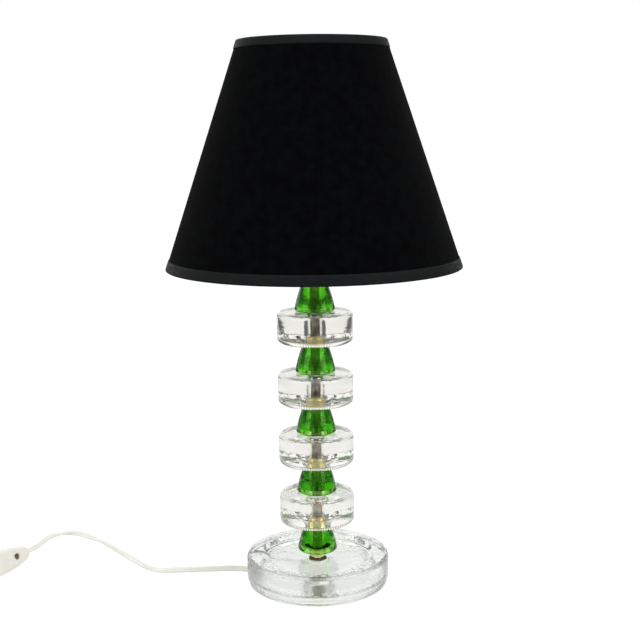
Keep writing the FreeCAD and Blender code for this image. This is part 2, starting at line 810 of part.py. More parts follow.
def make_wiring():
    cord_level = value("cord_radius")
    outward = direction(value("notch_azimuth"))
    bend = value("lead_bend")
    cord_end = outward * value("foot_radius") + FreeCAD.Vector(0, 0, cord_level)
    bend_out = outward * bend + FreeCAD.Vector(0, 0, cord_level)
    bend_top = FreeCAD.Vector(0, 0, cord_level + bend)
    bend_middle = (outward * bend * (1 - math.sqrt(0.5))
                   + FreeCAD.Vector(0, 0, cord_level + bend * (1 - math.sqrt(0.5))))
    lead_top = FreeCAD.Vector(0, 0, value(ROD_TOP) + 2 * cord_level)
    solid, length = pipe("inner_lead", [
        Part.LineSegment(cord_end, bend_out).toShape(),
        Part.Arc(bend_out, bend_middle, bend_top).toShape(),
        Part.LineSegment(bend_top, lead_top).toShape(),
    ], value("cord_radius"))
    print("inner_lead: length %.1f" % length)
    feature("inner_lead", solid)
    wires = []
    spread = value("core_wire_spread")
    reach = value("terminal_spread")
    screw_foot = value("%s + %s - terminal_height" % (HOLDER_LEVEL, CORE_LEVEL))
    step = (screw_foot - lead_top.z) / 2
    for side in (-1, 1):
        points = [FreeCAD.Vector(side * spread, 0, lead_top.z),
                  FreeCAD.Vector(side * spread, 0, lead_top.z + step),
                  FreeCAD.Vector(side * reach, 0, screw_foot - step),
                  FreeCAD.Vector(side * reach, 0, screw_foot)]
        edges, _ = arc_run(points)
        solid, _ = pipe("core_wires", edges, value("core_wire_radius"))
        wires.append(solid)
    feature("core_wires", Part.makeCompound(wires))
    return cord_end


# Inline switch, built flat along X with its rocker up, then stood on its edge

def bow_radius(half_chord, rise):
    """The radius of an arc that rises so far over half its chord."""
    return "((%s ^ 2 + %s ^ 2) / (2 * %s))" % (half_chord, rise, rise)


def switch_outline(inset):
    """The plan of the switch: two long bowed sides and two short rounded ends."""
    length = "(switch_half_length - switch_end_bulge - %s)" % inset
    end = "(switch_end_half_width - %s)" % inset
    side_bow = bow_radius(length, "(switch_half_width - switch_end_half_width)")
    end_bow = bow_radius(end, "switch_end_bulge")
    return [
        (length, "-" + end),
        (length, end, end_bow),
        ("-" + length, end, side_bow),
        ("-" + length, "-" + end, end_bow),
        (length, "-" + end, side_bow),
    ][1:]


def switch_shell(name, upward):
    """One half of the housing: an oval cup with its rim on the middle plane."""
    body = padded(name, "XY_Plane", switch_outline("0"), "switch_half_thickness",
                  backwards=not upward)
    outer = value("switch_half_thickness") * (1 if upward else -1)

    def on_outer_face(edge):
        return all(abs(vertex.Z - outer) < 0.001 for vertex in edge.Vertexes)

    rounded(name, body, "switch_edge", on_outer_face)
    cavity = padded(name + "_cavity", "XY_Plane", switch_outline("switch_wall"),
                    "switch_half_thickness - switch_wall", backwards=not upward)
    return body, cavity


def along_x(sign):
    """A rotation that lays a cylinder's axis along X, one way or the other."""
    return FreeCAD.Rotation(FreeCAD.Vector(0, 1, 0), 90 * sign)


def cord_holes(name):
    depth = "switch_wall * 2 + 1"
    return [rod("%s_cord_hole_%d" % (name, number), "cord_radius + cord_hole_gap", depth,
                ("%s(switch_half_length + 1)" % ("" if sign > 0 else "-"), "0", "0"),
                along_x(-sign))
            for number, sign in enumerate((1, -1), start=1)]


def screw_places(builder):
    """The same thing made at both screws."""
    return [builder(number, sign) for number, sign in enumerate(("", "-"), start=1)]


def make_switch_back(frame):
    body, cavity = switch_shell("switch_back_shell", upward=False)
    hollow = cut("switch_back_hollow", body, cavity)
    floor = "-(switch_half_thickness - switch_wall)"
    bosses = screw_places(lambda number, sign: rod(
        "back_boss_%d" % number, "boss_radius", "switch_half_thickness - switch_wall",
        (sign + "screw_offset", "0", floor)))
    recesses = screw_places(lambda number, sign: rod(
        "back_recess_%d" % number, "screw_recess_radius", "screw_recess_depth + 1",
        (sign + "screw_offset", "0", "-switch_half_thickness - 1")))
    holes = screw_places(lambda number, sign: rod(
        "back_hole_%d" % number, "screw_radius + fit_gap", "switch_half_thickness * 2",
        (sign + "screw_offset", "0", "-switch_half_thickness")))
    whole = fused("switch_back_bossed", hollow, *bosses)
    finished("switch_back", cut("switch_back", whole, *recesses, *holes, *cord_holes("back")),
             frame)


def make_switch_front(frame):
    body, cavity = switch_shell("switch_front_shell", upward=True)
    hollow = cut("switch_front_hollow", body, cavity)
    ceiling = "(switch_half_thickness - switch_wall)"
    bosses = screw_places(lambda number, sign: rod(
        "front_boss_%d" % number, "boss_radius - 1", ceiling + " - fit_gap",
        (sign + "screw_offset", "0", "fit_gap")))
    holes = screw_places(lambda number, sign: rod(
        "front_hole_%d" % number, "screw_radius + thread_gap", "switch_half_thickness * 0.6 + 1",
        (sign + "screw_offset", "0", "-1")))
    lugs = [block("rocker_lug_%d" % number,
                  ("-lug_half_length",
                   "window_half_width" if number == 1 else "-(window_half_width + lug_width)",
                   "fit_gap"),
                  ("2 * lug_half_length", "lug_width", ceiling + " - fit_gap"))
            for number in (1, 2)]
    window = block("rocker_window",
                   ("-window_half_length", "-window_half_width", "-1"),
                   ("2 * window_half_length", "2 * window_half_width",
                    "switch_half_thickness + 2"))
    pin_hole = rod("pin_hole", "pin_radius + pin_gap",
                   "2 * (window_half_width + lug_width) + 2",
                   ("0", "-(window_half_width + lug_width + 1)", "rocker_pivot_level"),
                   FreeCAD.Rotation(FreeCAD.Vector(1, 0, 0), -90))
    whole = fused("switch_front_bossed", hollow, *bosses, *lugs)
    finished("switch_front",
             cut("switch_front", whole, window, pin_hole, *holes, *cord_holes("front")), frame)


def make_rocker(frame):
    reach = "sqrt(rocker_radius ^ 2 - rocker_floor ^ 2)"
    crown = "rocker_crown_half_length"
    crown_level = "sqrt(rocker_radius ^ 2 - rocker_crown_half_length ^ 2)"
    key = padded("rocker_key", "XZ_Plane", [
        (reach, "-rocker_floor"),
        (crown, crown_level, "rocker_radius"),
        ("0", crown_level + " - rocker_dip"),
        ("-" + crown, crown_level),
        ("-" + reach, "-rocker_floor", "rocker_radius"),
    ], "2 * rocker_half_width", midplane=True)
    hole = rod("rocker_pin_hole", "pin_radius + pin_gap", "2 * rocker_half_width + 2",
               ("0", "-(rocker_half_width + 1)", "0"),
               FreeCAD.Rotation(FreeCAD.Vector(1, 0, 0), -90))
    tilt = FreeCAD.Rotation(FreeCAD.Vector(0, 1, 0), value("rocker_tilt"))
    pivot = FreeCAD.Vector(0, 0, value("rocker_pivot_level"))
    rocker_frame = frame.multiply(FreeCAD.Placement(pivot, tilt))
    finished("rocker", cut("rocker", key, hole), rocker_frame)
    plunger = rod("rocker_plunger", "plunger_radius", "plunger_length")
    plunger_drop = FreeCAD.Vector(0, 0, -value("rocker_floor + plunger_length"))
    finished("rocker_plunger", group("rocker_plunger_set", plunger),
             rocker_frame.multiply(FreeCAD.Placement(plunger_drop, FreeCAD.Rotation())))
    pin = rod("rocker_pin", "pin_radius", "2 * (window_half_width + lug_width)",
              ("0", "-(window_half_width + lug_width)", "rocker_pivot_level"),
              FreeCAD.Rotation(FreeCAD.Vector(1, 0, 0), -90))
    finished("rocker_pin", group("rocker_pin_set", pin), frame)
    bridge = block("contact_bridge_strip",
                   ("-bridge_half_length", "-bridge_half_width", "-bridge_thickness / 2"),
                   ("2 * bridge_half_length", "2 * bridge_half_width", "bridge_thickness"))
    bead = rod("contact_bridge_bead", "bridge_bead_radius", "2 * bridge_half_width",
               ("0", "-bridge_half_width", "0"),
               FreeCAD.Rotation(FreeCAD.Vector(1, 0, 0), -90))
    bridge_tilt = FreeCAD.Rotation(
        FreeCAD.Vector(0, 1, 0), -value("rocker_tilt * bridge_share"))
    bridge_pivot = FreeCAD.Vector(0, 0, value("bridge_level"))
    finished("contact_bridge", fused("contact_bridge", bridge, bead),
             frame.multiply(FreeCAD.Placement(bridge_pivot, bridge_tilt)))


def make_switch_internals(frame):
    floor = "-(switch_half_thickness - switch_wall)"
    floor_depth = "(switch_half_thickness - switch_wall)"
    drop = "bridge_half_length * sin(rocker_tilt * bridge_share)"
    pivot_post = block("pivot_post",
                       ("-post_half_width", "-bridge_half_width", floor),
                       ("2 * post_half_width", "2 * bridge_half_width",
                        floor_depth + " + bridge_level - bridge_bead_radius - fit_gap"))
    contact_post = block("contact_post",
                         ("-(bridge_half_length + fit_gap)", "-bridge_half_width", floor),
                         ("post_half_width", "2 * bridge_half_width",
                          "%s + bridge_level - bridge_thickness / 2 - %s - fit_gap"
                          % (floor_depth, drop)))
    link = block("neutral_link",
                 ("-link_half_length", "link_offset - post_half_width / 2", floor),
                 ("2 * link_half_length", "post_half_width", "post_half_width"))
    finished("switch_contacts", group("switch_contacts", pivot_post, contact_post, link), frame)
    seat = "-switch_half_thickness + screw_recess_depth"

    def screw(number, sign):
        head = rod("screw_head_%d" % number, "screw_head_radius", "screw_head_height",
                   (sign + "screw_offset", "0", seat + " - screw_head_height"))
        shank = rod("screw_shank_%d" % number, "screw_radius",
                    "switch_half_thickness * 1.5 - screw_recess_depth",
                    (sign + "screw_offset", "0", seat))
        return fused("switch_screw_%d" % number, head, shank)

    finished("switch_screws", group("switch_screws", *screw_places(screw)), frame)
    clamps = [block("cord_clamp_%d" % number,
                    ("%sclamp_offset - clamp_half_length" % sign, "-clamp_half_width",
                     "cord_radius + fit_gap"),
                    ("2 * clamp_half_length", "2 * clamp_half_width", "clamp_thickness"))
              for number, sign in ((1, ""), (2, "-"))]
    finished("cord_clamps", group("cord_clamps", *clamps), frame)


def make_switch():
    """The switch stands on its long edge, leaning back, where the cord brings it."""
    heading = FreeCAD.Rotation(FreeCAD.Vector(0, 0, 1), value("switch_heading"))
    lean = FreeCAD.Rotation(FreeCAD.Vector(1, 0, 0), value("switch_lean"))
    way = direction(value("switch_heading"))
    entry = FreeCAD.Vector(SWITCH_ENTRY[0], SWITCH_ENTRY[1], value("switch_axis_level"))
    middle = entry + way * value("switch_half_length")
    frame = FreeCAD.Placement(middle, heading.multiply(lean))
    make_switch_back(frame)
    make_switch_front(frame)
    make_rocker(frame)
    make_switch_internals(frame)
    return entry, way


# Cord outside the lamp, its storage coil and its plug

def coil_path(start_angle, centre):
    """Turns that wind in on the upper layer, drop a layer where they reverse, and wind out."""
    inner = value("coil_inner_radius")
    pitch = value("coil_pitch")
    turns = value("coil_turns")
    low = value("coil_floor + cord_radius")
    layer = value("2 * cord_radius + coil_layer_gap")
    middle = turns / 2

    def place(turn):
        radius = inner + pitch * math.sqrt((turn - middle) ** 2 + 0.01)
        share = min(max((middle + 0.25 - turn) / 0.5, 0.0), 1.0)
        level = low + layer * (1 - math.cos(math.pi * share)) / 2
        angle = math.radians(start_angle + 360 * turn)
        return centre + FreeCAD.Vector(radius * math.cos(angle), radius * math.sin(angle),
                                       level)

    def way(turn):
        return (place(turn + 0.001) - place(turn - 0.001)).normalize()

    count = round(4 * turns)
    stations = [turns * number / count for number in range(count + 1)]
    edges = []
    for first, second in zip(stations, stations[1:]):
        edges += biarc(place(first), way(first), place(second), way(second))
    return edges, [place(turns * number / 400) for number in range(401)]


def biarc(start, start_way, end, end_way):
    """Two arcs from one point and direction to another."""
    chord = end - start
    both = start_way + end_way
    spread = 2 * (1 - start_way.dot(end_way))
    along = chord.dot(both)
    reach = (math.sqrt(along ** 2 + spread * chord.dot(chord)) - along) / spread
    meeting = (start + start_way * reach + end - end_way * reach) / 2
    return [tangent_arc(start, start_way, meeting), tangent_arc(end, end_way * -1, meeting, True)]


def tangent_arc(start, way, end, backwards=False):
    """An arc that leaves start along way and reaches end."""
    chord = end - start
    off = chord - way * chord.dot(way)
    side = FreeCAD.Vector(off).normalize()
    radius = chord.dot(chord) / (2 * off.Length)
    centre = start + side * radius
    outward = ((start + end) / 2 - centre).normalize()
    middle = centre + outward * radius
    if backwards:
        return Part.Arc(end, middle, start).toShape()
    return Part.Arc(start, middle, end).toShape()


def least_gap(points, step, radius):
    """The least free space between turns, measured between points more than a loop apart."""
    skip = int(60 / step)
    least = min((first - second).Length
                for number, first in enumerate(points) for second in points[number + skip:])
    return least - 2 * radius


def make_coil():
    """The coil that the unused length is put away in, from the switch's cord to the plug's."""
    radius = value("cord_radius")
    turns = value("coil_turns")
    start_angle = COIL_ENTRY_HEADING - 90
    outer = value("coil_inner_radius") + value("coil_pitch") * math.sqrt((turns / 2) ** 2 + 0.01)
    entry = FreeCAD.Vector(COIL_ENTRY[0], COIL_ENTRY[1], 0)
    centre = entry - direction(start_angle) * outer
    edges, points = coil_path(start_angle, centre)
    first, last = edges[0], edges[-1]
    start = first.valueAt(first.FirstParameter)
    start_way = first.tangentAt(first.FirstParameter)
    end = last.valueAt(last.LastParameter)
    end_way = last.tangentAt(last.LastParameter)
    straight = 2 * radius
    lead_in = Part.LineSegment(start - start_way * straight, start).toShape()
    lead_out = Part.LineSegment(end, end + end_way * straight).toShape()
    solid, length = pipe("cord_coil", [lead_in] + edges + [lead_out], radius)
    step = length / len(points)
    print("cord_coil: length %.1f, least gap %.2f, middle %s" % (
        length, least_gap(points, step, radius), tuple(round(item, 1) for item in centre)))
    feature("cord_coil", solid)
    make_ties(centre)
    return start - start_way * straight, start_way, end + end_way * straight, end_way, length


def make_ties(centre):
    """Two bands round the turns, so that the coil lies on them and stays wound."""
    radius = value("cord_radius")
    gap = value("tie_gap")
    wall = value("tie_thickness")
    width = value("tie_width")
    reach = value("coil_pitch * coil_turns / 2")
    inside = value("coil_inner_radius") - radius - gap
    outside = value("coil_inner_radius") + reach + radius + 2 * gap
    low = value("coil_floor") - gap
    high = value("coil_floor + 4 * cord_radius + coil_layer_gap") + gap
    bands = []
    for azimuth in (270, 30):
        outer = Part.makeBox(outside - inside + 2 * wall, width, high - low + 2 * wall,
                             FreeCAD.Vector(inside - wall, -width / 2, low - wall))
        inner = Part.makeBox(outside - inside, width + 2, high - low,
                             FreeCAD.Vector(inside, -width / 2 - 1, low))
        band = outer.cut(inner)
        band.rotate(FreeCAD.Vector(0, 0, 0), FreeCAD.Vector(0, 0, 1), azimuth)
        band.translate(centre)
        bands.append(band)
    feature("coil_ties", Part.makeCompound(bands))


def make_plug():
    """A flat two-pin plug with its tapered boot, lying on the floor."""
    heading = FreeCAD.Rotation(FreeCAD.Vector(0, 0, 1), PLUG_HEADING)
    start = FreeCAD.Vector(PLUG_START[0], PLUG_START[1], value("plug_thickness / 2"))
    frame = FreeCAD.Placement(start, heading)
    boot = doc.addObject("Part::Cone", "plug_boot")
    bind(boot, "Radius1", "boot_tip_radius")
    bind(boot, "Radius2", "boot_radius")
    bind(boot, "Height", "boot_length")
    boot.Placement.Rotation = along_x(1)
    finished("plug_boot", group("plug_boot_set", boot), frame)
    body = padded("plug_body", "XY_Plane", [
        ("boot_length", "plug_tail_half_width"),
        ("boot_length", "-plug_tail_half_width"),
        ("boot_length + plug_shoulder", "-plug_half_width", "plug_length"),
        ("boot_length + plug_length", "-plug_half_width"),
        ("boot_length + plug_length", "plug_half_width"),
        ("boot_length + plug_shoulder", "plug_half_width"),
        ("boot_length", "plug_tail_half_width", "plug_length"),
    ][1:], "plug_thickness", midplane=True)
    flat_faces = value("plug_thickness / 2")

    def on_flat_face(edge):
        levels = [vertex.Z for vertex in edge.Vertexes]
        return all(abs(abs(level) - flat_faces) < 0.001 for level in levels)

    rounded("plug_body", body, "plug_edge", on_flat_face)
    sockets = [rod("prong_socket_%d" % number, "prong_radius + thread_gap", "prong_root + 1",
                   ("boot_length + plug_length - prong_root", sign + "prong_spread", "0"),
                   along_x(1)) for number, sign in ((1, ""), (2, "-"))]
    finished("plug_body", cut("plug_shell", body, *sockets), frame)
    prongs = []
    sleeves = []
    for number, sign in ((1, ""), (2, "-")):
        prongs.append(rod("prong_%d" % number, "prong_radius", "prong_length + prong_root",
                          ("boot_length + plug_length - prong_root", sign + "prong_spread",
                           "0"), along_x(1)))
        base = ("boot_length + plug_length", sign + "prong_spread", "0")
        outside = rod("prong_sleeve_outside_%d" % number, "prong_radius + prong_sleeve_wall",
                      "sleeve_length", base, along_x(1))
        inside = rod("prong_sleeve_inside_%d" % number, "prong_radius + thread_gap",
                     "sleeve_length", base, along_x(1))
        sleeves.append(cut("prong_sleeve_%d" % number, outside, inside))
    finished("plug_prongs", group("plug_prongs", *prongs), frame)
    finished("prong_sleeves", group("prong_sleeves", *sleeves), frame)
    return start, direction(PLUG_HEADING)


def vectors(points):
    return [FreeCAD.Vector(*point) for point in points]


def make_cord(cord_exit, switch_entry, switch_way):
    """The cord's free stretches, from the foot to the switch, the coil and the plug."""
    inside = value("cord_inside")
    switch_length = value("2 * switch_half_length")
    first = tube("cord_to_switch", [
        cord_exit,
        *vectors(CORD_TO_SWITCH),
        switch_entry - switch_way * LEAD_TO_SWITCH,
        switch_entry + switch_way * inside,
    ])
    coil_start, coil_way, coil_end, coil_end_way, wound = make_coil()
    second = tube("cord_to_coil", [
        switch_entry + switch_way * (switch_length - inside),
        switch_entry + switch_way * (switch_length + LEAD_FROM_SWITCH),
        *vectors(CORD_TO_COIL),
        coil_start - coil_way * LEAD_AT_COIL,
        coil_start,
    ])
    plug_start, plug_way = make_plug()
    third = tube("cord_to_plug", [
        coil_end,
        coil_end + coil_end_way * LEAD_AT_COIL,
        *vectors(CORD_TO_PLUG),
        plug_start - plug_way * LEAD_TO_PLUG,
        plug_start,
    ])
    housed = switch_length - 2 * inside
    print("cord from foot to plug: %.1f" % (first + housed + second + wound + third))


def check_and_save():
    """Stops on a piece that failed or isn't a good solid, then writes every piece."""
    doc.recompute()
    for item in doc.Objects:
        if "Invalid" in item.State or "Error" in item.State:
            raise ValueError("%s did not build" % item.Label)
    for label, item in nodes.items():
        if item.Shape.isNull() or not item.Shape.isValid():
            raise ValueError("%s is not a valid shape" % label)
        if not item.Shape.Solids:
            raise ValueError("%s holds no solid" % label)
    os.makedirs("parts", exist_ok=True)
    for label, item in nodes.items():
        item.Shape.exportStep("parts/%s.step" % label)
    print("%d pieces" % len(nodes))


fill_sheet()
make_foot()
make_foot_hardware()
for place_in_stack in range(CONES):
    make_cone(place_in_stack)
for place_in_stack in range(DISCS):
    make_disc(place_in_stack)
make_top_hardware()
make_holder()
make_bulb()
make_shade()
doc.recompute()
make_fitter()
cord_start = make_wiring()
entry_point, entry_way = make_switch()
make_cord(cord_start, entry_point, entry_way)
check_and_save()
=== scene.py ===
import math

import bmesh
import bpy
from mathutils import Matrix, Vector


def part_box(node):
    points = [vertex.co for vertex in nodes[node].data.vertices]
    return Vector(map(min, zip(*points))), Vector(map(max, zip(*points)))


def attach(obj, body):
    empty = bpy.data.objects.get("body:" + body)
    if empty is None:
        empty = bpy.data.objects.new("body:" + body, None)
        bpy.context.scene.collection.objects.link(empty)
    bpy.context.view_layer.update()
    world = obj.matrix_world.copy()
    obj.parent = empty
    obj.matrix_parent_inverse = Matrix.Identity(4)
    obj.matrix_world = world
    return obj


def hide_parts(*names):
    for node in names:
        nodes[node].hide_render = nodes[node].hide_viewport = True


# Glass table lamp in metres. The lamp is looked at along +Y and stands on z = 0.

MM = 0.001

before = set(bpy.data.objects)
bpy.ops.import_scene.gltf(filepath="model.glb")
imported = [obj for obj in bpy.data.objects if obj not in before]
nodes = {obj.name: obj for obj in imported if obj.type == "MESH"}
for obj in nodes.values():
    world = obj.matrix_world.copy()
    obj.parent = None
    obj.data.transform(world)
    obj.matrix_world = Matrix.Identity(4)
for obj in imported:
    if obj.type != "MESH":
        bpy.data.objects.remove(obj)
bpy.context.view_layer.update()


# Camera: it stands a good metre before the lamp and looks down on it a little.

CAMERA_PLACE = (0.0049, -1.0858, 0.4473)
LOOK_DOWN = math.radians(9.72)
CAMERA_ROLL = math.radians(-0.65)
SENSOR = 36.0
LENS = 64.69


def make_camera():
    data = bpy.data.cameras.new("camera")
    data.sensor_width = SENSOR
    data.lens = LENS
    data.clip_start = 0.02
    data.clip_end = 60.0
    camera = bpy.data.objects.new("camera", data)
    bpy.context.scene.collection.objects.link(camera)
    camera.location = CAMERA_PLACE
    aim = Matrix.Rotation(math.pi / 2 - LOOK_DOWN, 3, "X")
    camera.rotation_euler = (aim @ Matrix.Rotation(CAMERA_ROLL, 3, "Z")).to_euler()
    bpy.context.scene.camera = camera


# Colours and materials

def paint(red, green, blue):
    """A colour given as it shows on screen, 0 to 255, in the linear values a shader takes."""
    def linear(level):
        share = level / 255
        return share / 12.92 if share <= 0.04045 else ((share + 0.055) / 1.055) ** 2.4

    return (linear(red), linear(green), linear(blue), 1.0)


class Finish:
    """A material on one Principled shader, with short calls for the nodes that drive it."""

    def __init__(self, name, colour, roughness, **sockets):
        self.material = bpy.data.materials.new(name)
        self.material.use_nodes = True
        self.tree = self.material.node_tree
        self.shader = self.tree.nodes["Principled BSDF"]
        self.shader.inputs["Base Color"].default_value = colour
        self.shader.inputs["Roughness"].default_value = roughness
        for socket, level in sockets.items():
            self.shader.inputs[socket.replace("_", " ")].default_value = level
        self.space = self.tree.nodes.new("ShaderNodeTexCoord").outputs["Object"]

    def wire(self, source, target):
        self.tree.links.new(source, target)

    def noise(self, size, detail, stretch=(1, 1, 1)):
        """Noise whose features are about as large as size, in metres."""
        node = self.tree.nodes.new("ShaderNodeTexNoise")
        node.inputs["Scale"].default_value = 1 / size
        node.inputs["Detail"].default_value = detail
        place = self.space
        if stretch != (1, 1, 1):
            scale = self.tree.nodes.new("ShaderNodeMapping")
            scale.inputs["Scale"].default_value = [1 / item for item in stretch]
            self.wire(place, scale.inputs["Vector"])
            place = scale.outputs["Vector"]
        self.wire(place, node.inputs["Vector"])
        return node.outputs["Fac"]

    def maths(self, operation, first, second=None):
        node = self.tree.nodes.new("ShaderNodeMath")
        node.operation = operation
        for number, item in enumerate((first, second)):
            if item is None:
                continue
            if isinstance(item, (int, float)):
                node.inputs[number].default_value = item
            else:
                self.wire(item, node.inputs[number])
        return node.outputs["Value"]

    def between(self, source, low, high, start=0.3, end=0.7):
        """A value that goes from low to high as the source goes from start to end."""
        node = self.tree.nodes.new("ShaderNodeMapRange")
        node.inputs["From Min"].default_value = start
        node.inputs["From Max"].default_value = end
        node.inputs["To Min"].default_value = low
        node.inputs["To Max"].default_value = high
        self.wire(source, node.inputs["Value"])
        return node.outputs["Result"]

    def colours(self, source, first, second):
        """Two colours that the source shifts between."""
        share = self.between(source, 0.0, 1.0, 0.35, 0.65)
        node = self.tree.nodes.new("ShaderNodeMix")
        node.data_type = "RGBA"
        node.inputs[6].default_value = first
        node.inputs[7].default_value = second
        self.wire(share, node.inputs[0])
        self.wire(node.outputs[2], self.shader.inputs["Base Color"])

    def roughen(self, source, low, high):
        self.wire(self.between(source, low, high), self.shader.inputs["Roughness"])

    def relief(self, source, height):
        """Raises the surface by up to height, in metres, on top of any relief it has."""
        node = self.tree.nodes.new("ShaderNodeBump")
        node.inputs["Strength"].default_value = 1.0
        node.inputs["Distance"].default_value = height
        self.wire(source, node.inputs["Height"])
        earlier = self.shader.inputs["Normal"].links
        if earlier:
            self.wire(earlier[0].from_socket, node.inputs["Normal"])
        self.wire(node.outputs["Normal"], self.shader.inputs["Normal"])

    def surface_place(self):
        """Distances along and across a cloth in metres, from its own layout."""
        split = self.tree.nodes.new("ShaderNodeSeparateXYZ")
        layout = self.tree.nodes.new("ShaderNodeUVMap")
        layout.uv_map = "cloth"
        self.wire(layout.outputs["UV"], split.inputs["Vector"])
        return split.outputs["X"], split.outputs["Y"]


def clear_glass(name, tint, roughness, wave, wave_height, skin_height):
    """Pressed glass: a slow wave over the surface and a finer chill from the mould."""
    glass = Finish(name, tint, roughness, Transmission_Weight=1.0, IOR=1.5)
    glass.relief(glass.noise(wave, 2.0), wave_height)
    glass.relief(glass.noise(wave / 4, 2.0), skin_height)
    return glass.material


# The colour that light takes on in the green glass, how strongly for each metre of its way, and
# the tint of what the skin reflects.
GREEN_BODY = (0.46, 0.84, 0.02, 1.0)
GREEN_DENSITY = 162.0
GREEN_GLINT = (0.55, 0.9, 0.3, 1.0)


def green_glass():
    """Pressed green glass: the deeper the light goes through it, the deeper its green."""
    glass = Finish("green_glass", paint(230, 250, 222), 0.0, Transmission_Weight=1.0, IOR=1.5,
                   Specular_Tint=GREEN_GLINT)
    glass.relief(glass.noise(9 * MM, 2.0), 0.25 * MM)
    glass.relief(glass.noise(2.2 * MM, 2.0, (4, 4, 1)), 0.16 * MM)
    body = glass.tree.nodes.new("ShaderNodeVolumeAbsorption")
    body.inputs["Color"].default_value = GREEN_BODY
    body.inputs["Density"].default_value = GREEN_DENSITY
    output = glass.tree.nodes["Material Output"]
    glass.wire(body.outputs["Volume"], output.inputs["Volume"])
    return glass.material


def metal(name, bright, dull, roughness):
    """Turned or plated metal with small stains and a fine grain."""
    finish = Finish(name, bright, roughness, Metallic=1.0)
    finish.colours(finish.noise(5 * MM, 4.0), dull, bright)
    finish.roughen(finish.noise(2 * MM, 3.0), roughness * 0.75, roughness * 1.3)
    finish.relief(finish.noise(0.4 * MM, 2.0), 0.01 * MM)
    return finish.material


def plastic(name, light, dark, roughness, grain_height=0.012, coat=0.0):
    """Moulded plastic: slight flow marks and a fine mould texture, its height in millimetres."""
    finish = Finish(name, light, roughness, Coat_Weight=coat, Coat_Roughness=0.2)
    finish.colours(finish.noise(14 * MM, 3.0), dark, light)
    finish.roughen(finish.noise(3 * MM, 4.0), roughness * 0.8, roughness * 1.2)
    finish.relief(finish.noise(0.5 * MM, 2.0), grain_height * MM)
    return finish.material


def cord_plastic():
    """Soft cord sheath: handling marks, and a slight ripple along it."""
    finish = Finish("cord_sheath", paint(240, 240, 231), 0.42)
    finish.colours(finish.noise(22 * MM, 5.0), paint(233, 233, 223), paint(243, 243, 235))
    finish.roughen(finish.noise(4 * MM, 4.0), 0.34, 0.52)
    finish.relief(finish.noise(2.2 * MM, 3.0), 0.05 * MM)
    return finish.material


def inner_sheath():
    """The same sheath where it lies in the glass foot, soft enough to let light through."""
    finish = Finish("inner_sheath", paint(240, 240, 232), 0.5, Transmission_Weight=0.8, IOR=1.3)
    finish.colours(finish.noise(22 * MM, 5.0), paint(236, 236, 227), paint(244, 244, 237))
    finish.relief(finish.noise(2.2 * MM, 3.0), 0.05 * MM)
    return finish.material


def ceramic():
    """Unglazed ceramic: a little mottled and gritty."""
    finish = Finish("unglazed_ceramic", paint(236, 233, 222), 0.75)
    finish.colours(finish.noise(1.2 * MM, 6.0), paint(222, 217, 204), paint(240, 237, 228))
    finish.relief(finish.noise(0.6 * MM, 5.0), 0.05 * MM)
    return finish.material


def rubber():
    """Translucent silicone rubber, a little green."""
    finish = Finish("pale_rubber", paint(232, 240, 228), 0.3, Transmission_Weight=0.35, IOR=1.41)
    finish.colours(finish.noise(3 * MM, 5.0), paint(226, 236, 221), paint(238, 244, 234))
    finish.relief(finish.noise(0.5 * MM, 4.0), 0.04 * MM)
    return finish.material


def frosted_glass():
    """Bulb glass, coated white on its inside."""
    finish = Finish("frosted_glass", paint(244, 243, 238), 0.28, Transmission_Weight=0.35,
                    IOR=1.5)
    finish.colours(finish.noise(25 * MM, 2.0), paint(238, 237, 231), paint(247, 246, 242))
    finish.relief(finish.noise(12 * MM, 1.0), 0.05 * MM)
    return finish.material


def woven(finish, thread, depth):
    """Plain weave: threads that go over and under each other, each thread wide in metres."""
    along, across = finish.surface_place()
    waves = [finish.maths("SINE", finish.maths("MULTIPLY", way, math.pi / thread))
             for way in (along, across)]
    weave = finish.maths("MULTIPLY", waves[0], waves[1])
    slubs = finish.noise(3 * MM, 3.0)
    height = finish.maths("ADD", finish.maths("MULTIPLY", weave, 0.5), slubs)
    finish.relief(height, depth)
    return weave


def shade_cloth():
    """Black cotton with a fine plain weave, which scatters a little light where it is grazed."""
    finish = Finish("black_cloth", paint(6, 7, 8), 0.9, Sheen_Weight=0.022,
                    Sheen_Roughness=0.45, Specular_IOR_Level=0.0)
    weave = woven(finish, 0.42 * MM, 0.06 * MM)
    mottle = finish.maths("ADD", finish.maths("MULTIPLY", weave, 0.12), finish.noise(9 * MM, 4.0))
    finish.colours(mottle, paint(5, 5, 6), paint(8, 9, 10))
    return finish.material


def shade_lining():
    """The stiff white film that the cloth is laid on, seen from inside the shade."""
    finish = Finish("shade_lining", paint(236, 234, 226), 0.55)
    finish.colours(finish.noise(30 * MM, 3.0), paint(230, 227, 217), paint(240, 238, 231))
    finish.relief(finish.noise(1.5 * MM, 3.0), 0.03 * MM)
    return finish.material


def trim_satin():
    """Black satin ribbon: long threads that run round the shade, crossed by finer ones."""
    finish = Finish("satin_trim", paint(14, 16, 17), 0.5, Sheen_Weight=0.014,
                    Sheen_Roughness=0.35, Specular_IOR_Level=0.1)
    along, across = finish.surface_place()
    ribs = finish.maths("SINE", finish.maths("MULTIPLY", along, 2 * math.pi / (0.55 * MM)))
    floats = finish.maths("SINE", finish.maths("MULTIPLY", across, 2 * math.pi / (1.1 * MM)))
    slubs = finish.noise(2.5 * MM, 4.0, (4, 4, 1))
    height = finish.maths("ADD", finish.maths("MULTIPLY", ribs, 0.4),
                          finish.maths("ADD", finish.maths("MULTIPLY", floats, 0.35), slubs))
    finish.relief(height, 0.05 * MM)
    finish.colours(slubs, paint(9, 11, 12), paint(18, 21, 22))
    finish.roughen(slubs, 0.45, 0.65)
    return finish.material


# Shapes

